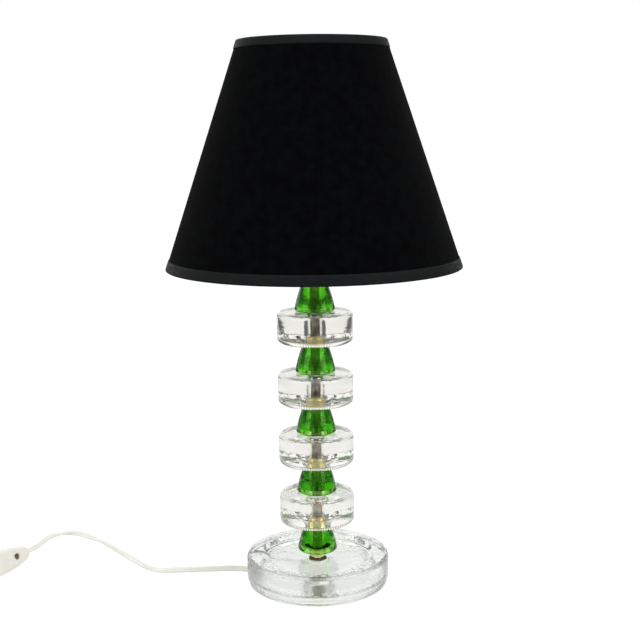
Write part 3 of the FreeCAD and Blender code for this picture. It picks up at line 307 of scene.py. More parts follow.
def new_piece(name, mesh, materials, body, smooth=30):
    """Puts a mesh in the scene as a piece that moves with a body."""
    piece = bpy.data.objects.new(name, mesh)
    bpy.context.scene.collection.objects.link(piece)
    for material in materials:
        mesh.materials.append(material)
    mesh.polygons.foreach_set("use_smooth", [True] * len(mesh.polygons))
    mesh.set_sharp_from_angle(angle=math.radians(smooth))
    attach(piece, body)
    return piece


def bend(centre, radius, start, end, count):
    """Points on an arc of a section, its angles in degrees from the outward direction."""
    points = []
    for number in range(count + 1):
        angle = math.radians(start + (end - start) * number / count)
        points.append((centre[0] + radius * math.cos(angle),
                       centre[1] + radius * math.sin(angle)))
    return points


def bowed(start, end, rise, count):
    """Points from start to end on a line that bows out to its right by rise in the middle."""
    run = Vector((end[0] - start[0], end[1] - start[1]))
    out = Vector((run.y, -run.x)).normalized()
    points = []
    for number in range(count + 1):
        share = number / count
        shift = 4 * rise * share * (1 - share)
        points.append((start[0] + run.x * share + out.x * shift,
                       start[1] + run.y * share + out.y * shift))
    return points


def turned(name, section, steps, level=0.0, wave=None):
    """A mesh turned round Z from a closed section of (radius, height). wave may shift each
    point outward and upward by its radius, its height and its angle."""
    mesh = bpy.data.meshes.new(name)
    shell = bmesh.new()
    rings = []
    for step in range(steps):
        angle = 2 * math.pi * step / steps
        way = Vector((math.cos(angle), math.sin(angle), 0))
        ring = []
        for radius, height in section:
            out, lift = wave(radius, height, angle) if wave else (0.0, 0.0)
            ring.append(shell.verts.new(way * (radius + out)
                                        + Vector((0, 0, level + height + lift))))
        rings.append(ring)
    for step in range(steps):
        near, far = rings[step], rings[(step + 1) % steps]
        for number in range(len(section)):
            following = (number + 1) % len(section)
            shell.faces.new((near[number], far[number], far[following], near[following]))
    bmesh.ops.recalc_face_normals(shell, faces=shell.faces)
    shell.to_mesh(mesh)
    shell.free()
    return mesh


def span(node):
    """A turned node's lowest level, highest level and radius."""
    low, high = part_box(node)
    return low.z, high.z, high.x


# Glass

ROD_HOLE = 5.3 * MM
DISC_TOP_EDGE = 4.0 * MM
DISC_FOOT_EDGE = 5.5 * MM
DISC_HOLE = 7.6 * MM
COLLAR_FLANGE_HOLE = 9.4 * MM
COLLAR_FLANGE_TOP = 6.3 * MM
RIBS = 84
RIB_DEPTH = 1.0 * MM
RIB_INNER = 24.0 * MM
RIB_INNER_FADE = 2.0 * MM
RIB_BEND = 30.9 * MM
RIB_TOP = 5.0 * MM
RIB_TOP_FADE = 3.0 * MM
DISC_STEPS = 6 * RIBS
UNDERSIDE_START = COLLAR_FLANGE_HOLE + 0.6 * MM
UNDERSIDE_RINGS = 10
CONE_STEPS = 128
CONE_FOOT_EDGE = 2.7 * MM
CONE_TOP_RADIUS = 11.6 * MM
CONE_TOP_EDGE = 0.8 * MM
CONE_SIDE_BOW = 0.65 * MM
CONE_CUP_RADIUS = 12.6 * MM
CONE_CUP_DEPTH = 3.4 * MM
# Stacked glass doesn't quite touch, so that light crosses the air between two pieces.
STACK_GAP = 0.03 * MM


def ribbed(radius, height, angle):
    """Fine ribs pressed into the underside of a disc and up its rounded edge, fading out at
    both ends."""
    if height > RIB_TOP or radius < RIB_INNER:
        return 0.0, 0.0
    fade = min(1.0, (radius - RIB_INNER) / RIB_INNER_FADE, (RIB_TOP - height) / RIB_TOP_FADE)
    depth = RIB_DEPTH * fade * abs(math.sin(RIBS * angle / 2))
    slant = math.asin(min(max(radius - RIB_BEND, 0.0) / DISC_FOOT_EDGE, 1.0))
    return -depth * math.sin(slant), depth * math.cos(slant)


def make_disc(node, glass):
    low, high, radius = span(node)
    height = high - low - STACK_GAP
    flat = radius - DISC_FOOT_EDGE
    section = [(DISC_HOLE, COLLAR_FLANGE_TOP), (COLLAR_FLANGE_HOLE, COLLAR_FLANGE_TOP),
               (COLLAR_FLANGE_HOLE, 0.0)]
    section += [(UNDERSIDE_START + (flat - UNDERSIDE_START) * number / UNDERSIDE_RINGS, 0.0)
                for number in range(UNDERSIDE_RINGS)]
    section += bend((flat, DISC_FOOT_EDGE), DISC_FOOT_EDGE, -90, 0, 16)
    section += bend((radius - DISC_TOP_EDGE, height - DISC_TOP_EDGE), DISC_TOP_EDGE, 0, 90, 10)
    section += [(DISC_HOLE, height)]
    piece = new_piece(node + "_glass", turned(node, section, DISC_STEPS, low, ribbed),
                      [glass], "lamp")
    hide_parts(node)


def make_cone(node, glass):
    low, high, radius = span(node)
    height = high - low - STACK_GAP
    section = [(ROD_HOLE, CONE_CUP_DEPTH),
               (CONE_CUP_RADIUS - CONE_CUP_DEPTH / 4, CONE_CUP_DEPTH),
               (CONE_CUP_RADIUS, 0.0)]
    section += bend((radius - CONE_FOOT_EDGE, CONE_FOOT_EDGE), CONE_FOOT_EDGE, -90, 0, 8)
    shoulder = height - CONE_TOP_EDGE
    section += bowed((radius, CONE_FOOT_EDGE), (CONE_TOP_RADIUS, shoulder),
                     CONE_SIDE_BOW, 10)[1:-1]
    section += bend((CONE_TOP_RADIUS - CONE_TOP_EDGE, shoulder), CONE_TOP_EDGE, 0, 90, 4)
    section += [(ROD_HOLE, height)]
    piece = new_piece(node + "_glass", turned(node, section, CONE_STEPS, low), [glass], "lamp")
    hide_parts(node)


FOOT_RADIUS = 69.8 * MM
FOOT_HEIGHT = 29.0 * MM
FOOT_EDGE = 4.0 * MM
FOOT_STEPS = 384
BAND_RADIUS = 68.5 * MM
BAND_HEIGHT = 5.0 * MM
BAND_EDGE = 1.8 * MM
GROOVE_DEPTH = 1.6 * MM
GROOVE_WIDTH = 1.4 * MM
# How far the groove's lower and upper edges are broken, inward and up or down.
GROOVE_LOW_BREAK = (0.25 * MM, 0.2 * MM)
GROOVE_HIGH_BREAK = (0.3 * MM, 0.4 * MM)
RING_BREAK = 0.4 * MM
DISH_RADIUS = 46.0 * MM
DISH_DEPTH = 4.0 * MM
RIM_SLOPE = 9.5 * MM
RIM_BEND = 12.0 * MM
HOLLOW_RADIUS = 57.0 * MM
HOLLOW_DEPTH = 5.8 * MM
CEILING_RINGS = 48
WELL_RADIUS = 11.4 * MM
WELL_DEPTH = 16.0 * MM
WELL_CORNER = 1.0 * MM
WELL_LIP = 0.8 * MM
NOTCH_WIDTH = 6.4 * MM
NOTCH_AZIMUTH = math.radians(163.8)
DIMPLE_SIZE = 1.1 * MM
DIMPLE_SHALLOW = 0.06 * MM
DIMPLE_DEEP = 0.75 * MM
DIMPLE_INNER = 34.0 * MM
DIMPLE_OUTER = HOLLOW_RADIUS - BAND_EDGE
DIMPLE_FADE = 1.5 * MM
# The frosted glass reaches this far up into the well, and this far out past the hollow.
FROST_TOP = HOLLOW_DEPTH + 1.2 * MM
FROST_RADIUS = HOLLOW_RADIUS + 0.3 * MM


def dimpled(radius, height, angle):
    """Shallow dimples over the ceiling of the foot's hollow, deepest under its rim."""
    if abs(height - HOLLOW_DEPTH) > 0.01 * MM or radius > DIMPLE_OUTER:
        return 0.0, 0.0
    share = min(max((radius - DIMPLE_INNER) / (DIMPLE_OUTER - DIMPLE_INNER), 0.0), 1.0)
    depth = DIMPLE_SHALLOW + (DIMPLE_DEEP - DIMPLE_SHALLOW) * share ** 2
    fade = min((DIMPLE_OUTER - radius) / DIMPLE_FADE, 1.0)
    across = radius * math.cos(angle) / DIMPLE_SIZE
    along = radius * math.sin(angle) / DIMPLE_SIZE
    coarse = (math.sin(across + 1.7 * math.sin(0.61 * along))
              * math.sin(along + 1.3 * math.sin(0.47 * across)))
    fine = 0.6 * math.sin(1.9 * across - 1.1 * along) * math.sin(0.8 * across + 2.1 * along)
    return 0.0, depth * fade * (coarse + fine + 1.6) / 2


def foot_section():
    """The foot's section, from the rod's hole along the underside and back over the dish. The
    rim slopes into the dish in two bends."""
    section = [(ROD_HOLE, WELL_DEPTH), (WELL_RADIUS - WELL_CORNER, WELL_DEPTH),
               (WELL_RADIUS, WELL_DEPTH - WELL_CORNER),
               (WELL_RADIUS, HOLLOW_DEPTH + WELL_LIP), (WELL_RADIUS + WELL_LIP, HOLLOW_DEPTH)]
    first = WELL_RADIUS + 2 * WELL_LIP
    section += [(first + (DIMPLE_OUTER - first) * number / CEILING_RINGS, HOLLOW_DEPTH)
                for number in range(CEILING_RINGS)]
    section += bend((HOLLOW_RADIUS - BAND_EDGE, HOLLOW_DEPTH - BAND_EDGE), BAND_EDGE, 90, 0, 6)
    section += [(HOLLOW_RADIUS, RING_BREAK), (HOLLOW_RADIUS + RING_BREAK, 0.0)]
    section += bend((BAND_RADIUS - BAND_EDGE, BAND_EDGE), BAND_EDGE, -90, 0, 8)
    groove_top = BAND_HEIGHT + GROOVE_WIDTH
    section += [(BAND_RADIUS, BAND_HEIGHT - GROOVE_LOW_BREAK[1]),
                (BAND_RADIUS - GROOVE_LOW_BREAK[0], BAND_HEIGHT),
                (FOOT_RADIUS - GROOVE_DEPTH, BAND_HEIGHT + GROOVE_WIDTH / 2),
                (FOOT_RADIUS - GROOVE_HIGH_BREAK[0], groove_top),
                (FOOT_RADIUS, groove_top + GROOVE_HIGH_BREAK[1])]
    section += bend((FOOT_RADIUS - FOOT_EDGE, FOOT_HEIGHT - FOOT_EDGE), FOOT_EDGE, 0, 90, 12)
    rim = (DISH_RADIUS + RIM_SLOPE, FOOT_HEIGHT)
    middle = (DISH_RADIUS + RIM_SLOPE / 2, FOOT_HEIGHT - DISH_DEPTH / 2)
    dish = FOOT_HEIGHT - DISH_DEPTH
    chord = math.hypot(rim[0] - middle[0], rim[1] - middle[1])
    rise = RIM_BEND - math.sqrt(RIM_BEND ** 2 - chord ** 2 / 4)
    section += bowed(rim, middle, rise, 6)
    section += bowed(middle, (DISH_RADIUS, dish), -rise, 6)[1:]
    section += [(ROD_HOLE, dish)]
    return section


def cut_notch(piece):
    """Cuts the cord's notch through the ring that the foot stands on."""
    mesh = bpy.data.meshes.new("cord_notch")
    shell = bmesh.new()
    bmesh.ops.create_cube(shell, size=1.0)
    length = FOOT_RADIUS + 5 * MM
    size = Matrix.Diagonal((length, NOTCH_WIDTH, HOLLOW_DEPTH + 2 * MM, 1))
    shift = Matrix.Translation((length / 2 + HOLLOW_RADIUS / 2, 0, HOLLOW_DEPTH / 2 - 1 * MM))
    turn = Matrix.Rotation(NOTCH_AZIMUTH, 4, "Z")
    bmesh.ops.transform(shell, matrix=turn @ shift @ size, verts=shell.verts)
    shell.to_mesh(mesh)
    shell.free()
    notch = bpy.data.objects.new("cord_notch", mesh)
    bpy.context.scene.collection.objects.link(notch)
    opening = piece.modifiers.new("cord_notch", "BOOLEAN")
    opening.operation = "DIFFERENCE"
    opening.solver = "EXACT"
    opening.object = notch
    bpy.context.view_layer.update()
    graph = bpy.context.evaluated_depsgraph_get()
    notched = bpy.data.meshes.new_from_object(piece.evaluated_get(graph))
    piece.modifiers.clear()
    piece.data = notched
    notched.set_sharp_from_angle(angle=math.radians(30))
    bpy.data.objects.remove(notch)


def make_foot(glass, frosted, dimples):
    """The pressed dish. Its underside is hollow round a deeper well, frosted in the middle and
    dimpled under the rim."""
    mesh = turned("foot_glass", foot_section(), FOOT_STEPS, 0.0, dimpled)
    piece = new_piece("foot_glass", mesh, [glass, frosted, dimples], "lamp")
    cut_notch(piece)
    across = Vector((-math.sin(NOTCH_AZIMUTH), math.cos(NOTCH_AZIMUTH), 0))
    for face in piece.data.polygons:
        centre = face.center
        in_notch = abs(centre.dot(across)) < NOTCH_WIDTH / 2 + 0.1 * MM and centre.x < 0
        away = math.hypot(centre.x, centre.y)
        if centre.z > FROST_TOP or (away > FROST_RADIUS and not in_notch):
            face.material_index = 0
        elif DIMPLE_INNER < away < DIMPLE_OUTER:
            face.material_index = 2
        else:
            face.material_index = 1
    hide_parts("glass_foot")


# Threaded rod

THREAD_PITCH = 1.0 * MM
THREAD_DEPTH = 0.55 * MM
THREAD_STEPS = 24
ROD_BORE = 4.0 * MM
# A cone closes each end of the helix from inside. It is this many pitches long and narrows to
# this share of the rod's radius.
LEAD_PITCHES = 1.5
LEAD_SHARE = 0.9


def make_rod(material):
    """The rod's fine thread, one helix from end to end, round its bore."""
    low, high, radius = span("threaded_rod")
    profile = ((0.0, radius), (0.12, radius), (0.5, radius - THREAD_DEPTH), (0.88, radius))
    turns = int((high - low) / THREAD_PITCH) - 1
    rows = [(turn + share, reach) for turn in range(turns) for share, reach in profile]
    mesh = bpy.data.meshes.new("rod_thread")
    shell = bmesh.new()

    def corner(reach, step, level):
        angle = 2 * math.pi * step / THREAD_STEPS
        return shell.verts.new((reach * math.cos(angle), reach * math.sin(angle), level))

    columns = []
    for step in range(THREAD_STEPS + 1):
        rise = THREAD_PITCH * step / THREAD_STEPS
        columns.append([corner(reach, step, low + THREAD_PITCH * place + rise)
                        for place, reach in rows])
    for near, far in zip(columns, columns[1:]):
        for number in range(len(near) - 1):
            shell.faces.new((near[number], far[number], far[number + 1], near[number + 1]))
    bmesh.ops.remove_doubles(shell, verts=shell.verts, dist=1e-6)
    rims = []
    for level, way in ((low, 1), (high, -1)):
        rim = [corner(ROD_BORE, step, level) for step in range(THREAD_STEPS)]
        edge = [corner(radius, step, level) for step in range(THREAD_STEPS)]
        depth = THREAD_PITCH * LEAD_PITCHES * way
        shoulder = [shell.verts.new((vert.co.x * LEAD_SHARE, vert.co.y * LEAD_SHARE,
                                     level + depth)) for vert in edge]
        for step in range(THREAD_STEPS):
            after = (step + 1) % THREAD_STEPS
            shell.faces.new((rim[step], rim[after], edge[after], edge[step]))
            shell.faces.new((edge[step], edge[after], shoulder[after], shoulder[step]))
        rims.append(rim)
    lower, upper = rims
    for step in range(THREAD_STEPS):
        after = (step + 1) % THREAD_STEPS
        shell.faces.new((lower[step], lower[after], upper[after], upper[step]))
    bmesh.ops.recalc_face_normals(shell, faces=shell.faces)
    shell.to_mesh(mesh)
    shell.free()
    piece = new_piece("rod_thread", mesh, [material], "lamp", 25)
    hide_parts("threaded_rod")


# Shade

SHADE_BOTTOM = 313.0 * MM
SHADE_HEIGHT = 210.0 * MM
SHADE_LOW_RADIUS = 139.9 * MM
SHADE_TOP_RADIUS = 69.1 * MM
SHADE_WALL = 0.9 * MM
# Length along the slope for each unit of height.
SHADE_SLOPE = 1.054
PANEL_ROWS = 24
TRIM_FOLD = 0.9 * MM
TRIM_PROUD = 0.7 * MM
TRIM_GAP = 0.1 * MM
TRIM_LIP = 4.4 * MM
TRIM_LIP_LEVELS = (0.55 * MM, 0.15 * MM)
TRIM_EDGE = 0.25 * MM
# How full the ribbon is, as a share of what it stands proud, at shares of its height.
TRIM_FULLNESS = ((0.0, 0.55), (0.06, 0.85), (0.16, 1.0), (0.4, 1.0), (0.7, 0.93), (0.88, 0.85),
                 (0.96, 0.65), (1.0, 0.25))
TOP_TRIM_HEIGHT = 8.0 * MM
BOTTOM_TRIM_HEIGHT = 9.5 * MM
PANEL_STEPS = 288


def shade_radius(rise):
    """The shade's outer radius at a height over its lower edge."""
    return SHADE_LOW_RADIUS - (SHADE_LOW_RADIUS - SHADE_TOP_RADIUS) * rise / SHADE_HEIGHT


def lay_out(mesh, run, radius):
    """Gives a turned cloth its layout in metres: round the shade, and along the section."""
    layer = mesh.uv_layers.new(name="cloth")
    for face in mesh.polygons:
        points = [mesh.vertices[mesh.loops[loop].vertex_index].co for loop in face.loop_indices]
        angles = [math.atan2(point.y, point.x) % (2 * math.pi) for point in points]
        if max(angles) - min(angles) > math.pi:
            angles = [angle if angle > math.pi else angle + 2 * math.pi for angle in angles]
        for loop, point, angle in zip(face.loop_indices, points, angles):
            layer.data[loop].uv = (angle * radius, run(point))


def make_shade():
    """The cloth panel with its lining, and the satin ribbons folded over both edges."""
    low, high = TRIM_FOLD, SHADE_HEIGHT - TRIM_FOLD
    levels = [low + (high - low) * row / PANEL_ROWS for row in range(PANEL_ROWS + 1)]
    outside = [(shade_radius(rise), rise) for rise in levels]
    inside = [(radius - SHADE_WALL, rise) for radius, rise in reversed(outside)]
    mesh = turned("shade_cloth", outside + inside, PANEL_STEPS, SHADE_BOTTOM)
    panel = new_piece("shade_cloth", mesh, [shade_cloth(), shade_lining()], "shade", 50)
    for face in mesh.polygons:
        outward = face.normal.x * face.center.x + face.normal.y * face.center.y
        face.material_index = 0 if outward > 0 else 1
    lay_out(mesh, lambda point: point.z * SHADE_SLOPE, (SHADE_LOW_RADIUS + SHADE_TOP_RADIUS) / 2)
    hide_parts("shade_panel")
    satin = trim_satin()
    bottom = make_ribbon("bottom_ribbon", "bottom_trim", 0.0, BOTTOM_TRIM_HEIGHT, 1, satin)
    top = make_ribbon("top_ribbon", "top_trim", SHADE_HEIGHT, TOP_TRIM_HEIGHT, -1, satin)
    return panel, bottom, top


def make_ribbon(name, node, edge, height, up, satin):
    """A satin ribbon folded over an edge of the shade. It stands a little proud of the cloth
    and is fullest near the fold."""
    section = [(shade_radius(edge) - TRIM_LIP, edge + up * level) for level in TRIM_LIP_LEVELS]
    section += [(shade_radius(edge) - TRIM_LIP * 0.6, edge), (shade_radius(edge), edge)]
    for share, full in TRIM_FULLNESS:
        rise = edge + up * (height * share + (TRIM_EDGE if share == 0 else 0))
        section.append((shade_radius(rise) + TRIM_PROUD * full, rise))
    for reach in (height, TRIM_FOLD):
        section.append((shade_radius(edge + up * reach) + TRIM_GAP, edge + up * reach))
    mesh = turned(name, section, PANEL_STEPS, SHADE_BOTTOM)
    ribbon = new_piece(name, mesh, [satin], "shade", 60)
    lay_out(mesh, lambda point: point.z, shade_radius(edge))
    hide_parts(node)
    return ribbon


# Cord. Each control point is x, y and height in millimetres, with the angle in degrees by
# which the flat cord stands up from lying flat. The cord's half width and the coil's sizes are
# in millimetres too.

HALF_WIDTH = 2.65
CORD_WIDTH = 2 * HALF_WIDTH * MM
CORE_RADIUS = 1.6 * MM
CORE_SPREAD = 1.05 * MM
LOBE_STEPS = 9
ROUTE_STEPS = 8

TO_SWITCH = [
    ((-67.03, 19.47, HALF_WIDTH), 66),
    ((-84.0, 24.4, HALF_WIDTH), 70),
    ((-103.0, 22.3, HALF_WIDTH), 76),
    ((-122.0, 21.4, HALF_WIDTH), 86),
    ((-140.0, 20.4, HALF_WIDTH), 84),
    ((-156.5, 19.8, HALF_WIDTH), 38),
    ((-171.5, 26.5, HALF_WIDTH), -6),
    ((-183.5, 40.0, HALF_WIDTH), 24),
    ((-198.0, 57.5, HALF_WIDTH), 66),
    ((-213.5, 76.0, 3.2), 94),
    ((-228.5, 92.0, 5.2), 124),
    ((-244.0, 102.5, 8.2), 184),
    ((-261.0, 106.0, 11.6), 262),
    ((-277.0, 100.5, 14.4), 338),
    ((-288.0, 87.0, 15.2), 398),
    ((-293.56, 64.66, 12.45), 426),
    ((-307.87, 41.77, 12.45), 430),
]
FROM_SWITCH = [
    ((-339.66, -9.12, 12.45), 70),
    ((-350.79, -26.92, 12.45), 74),
    ((-364.3, -41.2, 12.2), 82),
]
COIL_CENTRE = (-353.8, -91.0)
COIL_START_ANGLE = 148.0
COIL_INNER = 23.2
COIL_PITCH = 5.9
COIL_TURNS = 5.77
COIL_LOW = 3.65
COIL_LAYER = 5.9
COIL_LEAD = 14.0
POINTS_PER_TURN = 24
TO_PLUG = [
    ((-372.0, -36.5, 3.2), 70),
    ((-387.0, -22.5, 3.3), 40),
    ((-397.0, -4.0, 4.6), 12),
    ((-401.71, 15.01, 6.9), 0),
    ((-402.2, 29.0, 6.9), 0),
]


def coil_point(turn):
    """A point on the put-away coil: in on the upper layer, then out on the lower one."""
    middle = COIL_TURNS / 2
    radius = COIL_INNER + COIL_PITCH * math.sqrt((turn - middle) ** 2 + 0.01)
    share = min(max((middle + 0.25 - turn) / 0.5, 0.0), 1.0)
    level = COIL_LOW + COIL_LAYER * (1 - math.cos(math.pi * share)) / 2
    angle = math.radians(COIL_START_ANGLE + 360 * turn)
    return Vector((COIL_CENTRE[0] + radius * math.cos(angle),
                   COIL_CENTRE[1] + radius * math.sin(angle), level))


def from_switch_to_plug():
    """The whole second cord: out of the switch, round the coil and on to the plug."""
    count = round(POINTS_PER_TURN * COIL_TURNS)
    turns = [coil_point(COIL_TURNS * number / count) for number in range(count + 1)]
    way_in = (coil_point(0.001) - coil_point(0.0)).normalized()
    way_out = (coil_point(COIL_TURNS) - coil_point(COIL_TURNS - 0.001)).normalized()
    lead_in = turns[0] - way_in * (COIL_LEAD + 2 * HALF_WIDTH)
    lead_out = turns[-1] + way_out * (COIL_LEAD + 2 * HALF_WIDTH)
    coil = [(tuple(lead_in), 90)] + [(tuple(point), 90) for point in turns]
    coil.append((tuple(lead_out), 90))
    return FROM_SWITCH + coil + TO_PLUG


def spline_points(name, controls):
    """The points of a smooth NURBS line through the pull of its control points."""
    curve = bpy.data.curves.new(name, "CURVE")
    curve.dimensions = "3D"
    curve.resolution_u = ROUTE_STEPS
    spline = curve.splines.new("NURBS")
    spline.points.add(len(controls) - 1)
    for point, control in zip(spline.points, controls):
        point.co = (control[0], control[1], control[2], 1.0)
    spline.order_u = 3
    spline.use_endpoint_u = True
    holder = bpy.data.objects.new(name, curve)
    bpy.context.scene.collection.objects.link(holder)
    bpy.context.view_layer.update()
    graph = bpy.context.evaluated_depsgraph_get()
    line = bpy.data.meshes.new_from_object(holder.evaluated_get(graph))
    points = [vertex.co.copy() for vertex in line.vertices]
    bpy.data.objects.remove(holder)
    bpy.data.curves.remove(curve)
    bpy.data.meshes.remove(line)
    return points


def twin_section():
    """The outline of a flat two-core cord: two round lobes side by side."""
    notch = math.degrees(math.acos(CORE_SPREAD / CORE_RADIUS))
    points = []
    for side, first in ((1, -(180 - notch)), (-1, notch)):
        for step in range(LOBE_STEPS):
            angle = math.radians(first + (360 - 2 * notch) * step / (LOBE_STEPS - 1))
            points.append((side * CORE_SPREAD + CORE_RADIUS * math.cos(angle),
                           CORE_RADIUS * math.sin(angle)))
    return points


def flat_cord(name, route, sheath, on_floor=True):
    """A flat cord along a route, turned about its own line by the route's angles."""
    line = spline_points(name + "_line", [Vector(point) * MM for point, _ in route])
    twists = spline_points(name + "_twist", [(math.radians(turn), 0, 0) for _, turn in route])
    up = Vector((0, 0, 1))
    side = None
    middles = []
    mesh = bpy.data.meshes.new(name)
    shell = bmesh.new()
    rings = []
    outline = twin_section()
    for number, (point, twist) in enumerate(zip(line, twists)):
        before = line[max(number - 1, 0)]
        after = line[min(number + 1, len(line) - 1)]
        way = (after - before).normalized()
        flat = way.cross(up)
        if flat.length > 0.2:
            side = flat.normalized()
        over = side.cross(way).normalized()
        across = side * math.cos(twist.x) + over * math.sin(twist.x)
        through = over * math.cos(twist.x) - side * math.sin(twist.x)
        middle = point.copy()
        if on_floor:
            stands = CORE_RADIUS + CORE_SPREAD * math.sqrt(math.sin(twist.x) ** 2 + 0.02)
            middle.z -= CORD_WIDTH / 2 - min(stands, CORD_WIDTH / 2)
        middles.append(middle)
        rings.append([shell.verts.new(middle + across * x + through * y) for x, y in outline])
    for near, far in zip(rings, rings[1:]):
        for number in range(len(outline)):
            after = (number + 1) % len(outline)
            shell.faces.new((near[number], near[after], far[after], far[number]))
    shell.faces.new(rings[0])
    shell.faces.new(list(reversed(rings[-1])))
    bmesh.ops.recalc_face_normals(shell, faces=shell.faces)
    shell.to_mesh(mesh)
    shell.free()
    piece = new_piece(name, mesh, [sheath], "lamp", 50)
    return piece, middles


LEAD = [
    ((-67.03, 19.47, HALF_WIDTH), 66),
    ((-44.0, 12.78, 2.0), 30),
    ((-24.0, 6.97, 1.7), 6),
    ((-9.0, 2.61, 1.7), 0),
    ((0.0, 0.0, 1.7), 0),
    ((0.0, 0.0, 11.0), 0),
    ((0.0, 0.0, 60.0), 0),
    ((0.0, 0.0, 190.0), 0),
    ((0.0, 0.0, 317.5), 0),
]


def make_cords(sheath):
    first, line = flat_cord("cord_a", TO_SWITCH, sheath)
    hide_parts("cord_to_switch")
    second, line = flat_cord("cord_b", from_switch_to_plug(), sheath)
    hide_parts("cord_to_coil", "cord_coil", "cord_to_plug")
    lead, _ = flat_cord("cord_in_rod", LEAD, inner_sheath(), on_floor=False)
    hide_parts("inner_lead")


# Floor, world and lights

FLOOR_SIZE = 6.0
FLOOR_LEVEL = -0.2 * MM
FLOOR_GLOW = 0.86
# How much of the light that falls on the floor shows, to glass and to the eye.
FLOOR_IN_GLASS = 0.08
FLOOR_TO_EYE = 0.25
FLOOR_DARK = 0.05
FLOOR_MATTE = (0.8, 0.8, 0.8, 1)
SHEET_MIDDLE = (0.0, 1.1)
SHEET_REACH = (1.0, 1.65)
SHEET_EDGE = 0.1


def make_floor():
    """A white floor. What the eye sees of it is white, less the lamp's shadow. Glass and metal
    see a white sheet that ends a little way off, with the dark past its edge."""
    mesh = bpy.data.meshes.new("floor")
    shell = bmesh.new()
    bmesh.ops.create_grid(shell, x_segments=1, y_segments=1, size=FLOOR_SIZE)
    shell.to_mesh(mesh)
    shell.free()
    floor = bpy.data.objects.new("floor", mesh)
    floor.location = (0, 0, FLOOR_LEVEL)
    bpy.context.scene.collection.objects.link(floor)
    material = bpy.data.materials.new("white_floor")
    material.use_nodes = True
    tree = material.node_tree
    tree.nodes.clear()
    output = tree.nodes.new("ShaderNodeOutputMaterial")
    matte = tree.nodes.new("ShaderNodeBsdfDiffuse")
    matte.inputs["Color"].default_value = FLOOR_MATTE
    pale = tree.nodes.new("ShaderNodeBsdfDiffuse")
    glow = tree.nodes.new("ShaderNodeEmission")
    glow.inputs["Color"].default_value = (1, 1, 1, 1)
    path = tree.nodes.new("ShaderNodeLightPath")
    strength = tree.nodes.new("ShaderNodeMix")
    tree.links.new(path.outputs["Is Camera Ray"], strength.inputs[0])
    tree.links.new(sheet_in_glass(tree), strength.inputs[2])
    strength.inputs[3].default_value = FLOOR_GLOW
    tree.links.new(strength.outputs[0], glow.inputs["Strength"])
    shaded = tree.nodes.new("ShaderNodeMix")
    tree.links.new(path.outputs["Is Camera Ray"], shaded.inputs[0])
    shaded.inputs[2].default_value = FLOOR_IN_GLASS
    shaded.inputs[3].default_value = FLOOR_TO_EYE
    tree.links.new(shaded.outputs[0], pale.inputs["Color"])
    both = tree.nodes.new("ShaderNodeAddShader")
    tree.links.new(pale.outputs[0], both.inputs[0])
    tree.links.new(glow.outputs[0], both.inputs[1])
    mix = tree.nodes.new("ShaderNodeMixShader")
    tree.links.new(seen_directly(tree), mix.inputs[0])
    tree.links.new(matte.outputs[0], mix.inputs[1])
    tree.links.new(both.outputs[0], mix.inputs[2])
    tree.links.new(mix.outputs[0], output.inputs["Surface"])
    mesh.materials.append(material)


def sheet_in_glass(tree):
    """How bright glass and metal see the floor: white on an oval sheet under and behind the
    lamp, and dark beyond it."""
    place = tree.nodes.new("ShaderNodeTexCoord")
    oval = tree.nodes.new("ShaderNodeMapping")
    oval.inputs["Location"].default_value = (
        -SHEET_MIDDLE[0] / SHEET_REACH[0], -SHEET_MIDDLE[1] / SHEET_REACH[1], 0)
    oval.inputs["Scale"].default_value = (1 / SHEET_REACH[0], 1 / SHEET_REACH[1], 1)
    tree.links.new(place.outputs["Object"], oval.inputs["Vector"])
    far = tree.nodes.new("ShaderNodeVectorMath")
    far.operation = "LENGTH"
    tree.links.new(oval.outputs["Vector"], far.inputs[0])
    fade = tree.nodes.new("ShaderNodeMapRange")
    fade.interpolation_type = "SMOOTHSTEP"
    fade.inputs["From Min"].default_value = 1.0 - SHEET_EDGE
    fade.inputs["From Max"].default_value = 1.0 + SHEET_EDGE
    fade.inputs["To Min"].default_value = FLOOR_GLOW
    fade.inputs["To Max"].default_value = FLOOR_DARK
    tree.links.new(far.outputs["Value"], fade.inputs["Value"])
    return fade.outputs["Result"]


def seen_directly(tree):
    """One for rays from the eye, or from it by way of glass or a mirror, and else nought."""
    path = tree.nodes.new("ShaderNodeLightPath")
    total = path.outputs["Is Camera Ray"]
    for kind in ("Is Glossy Ray", "Is Transmission Ray"):
        most = tree.nodes.new("ShaderNodeMath")
        most.operation = "MAXIMUM"
        tree.links.new(total, most.inputs[0])
        tree.links.new(path.outputs[kind], most.inputs[1])
        total = most.outputs[0]
    return total


WORLD_LIGHT = 0.76
BACKDROP_GREY = 0.3
# How far a direction must point back, a little to the left, or up, for the room to turn from
# grey to white.
WHITE_AHEAD = (0.45, 0.80)
WHITE_ABOVE = (0.36, 0.60)
WHITE_MIDDLE = (-math.sin(math.radians(12)), math.cos(math.radians(12)), 0)


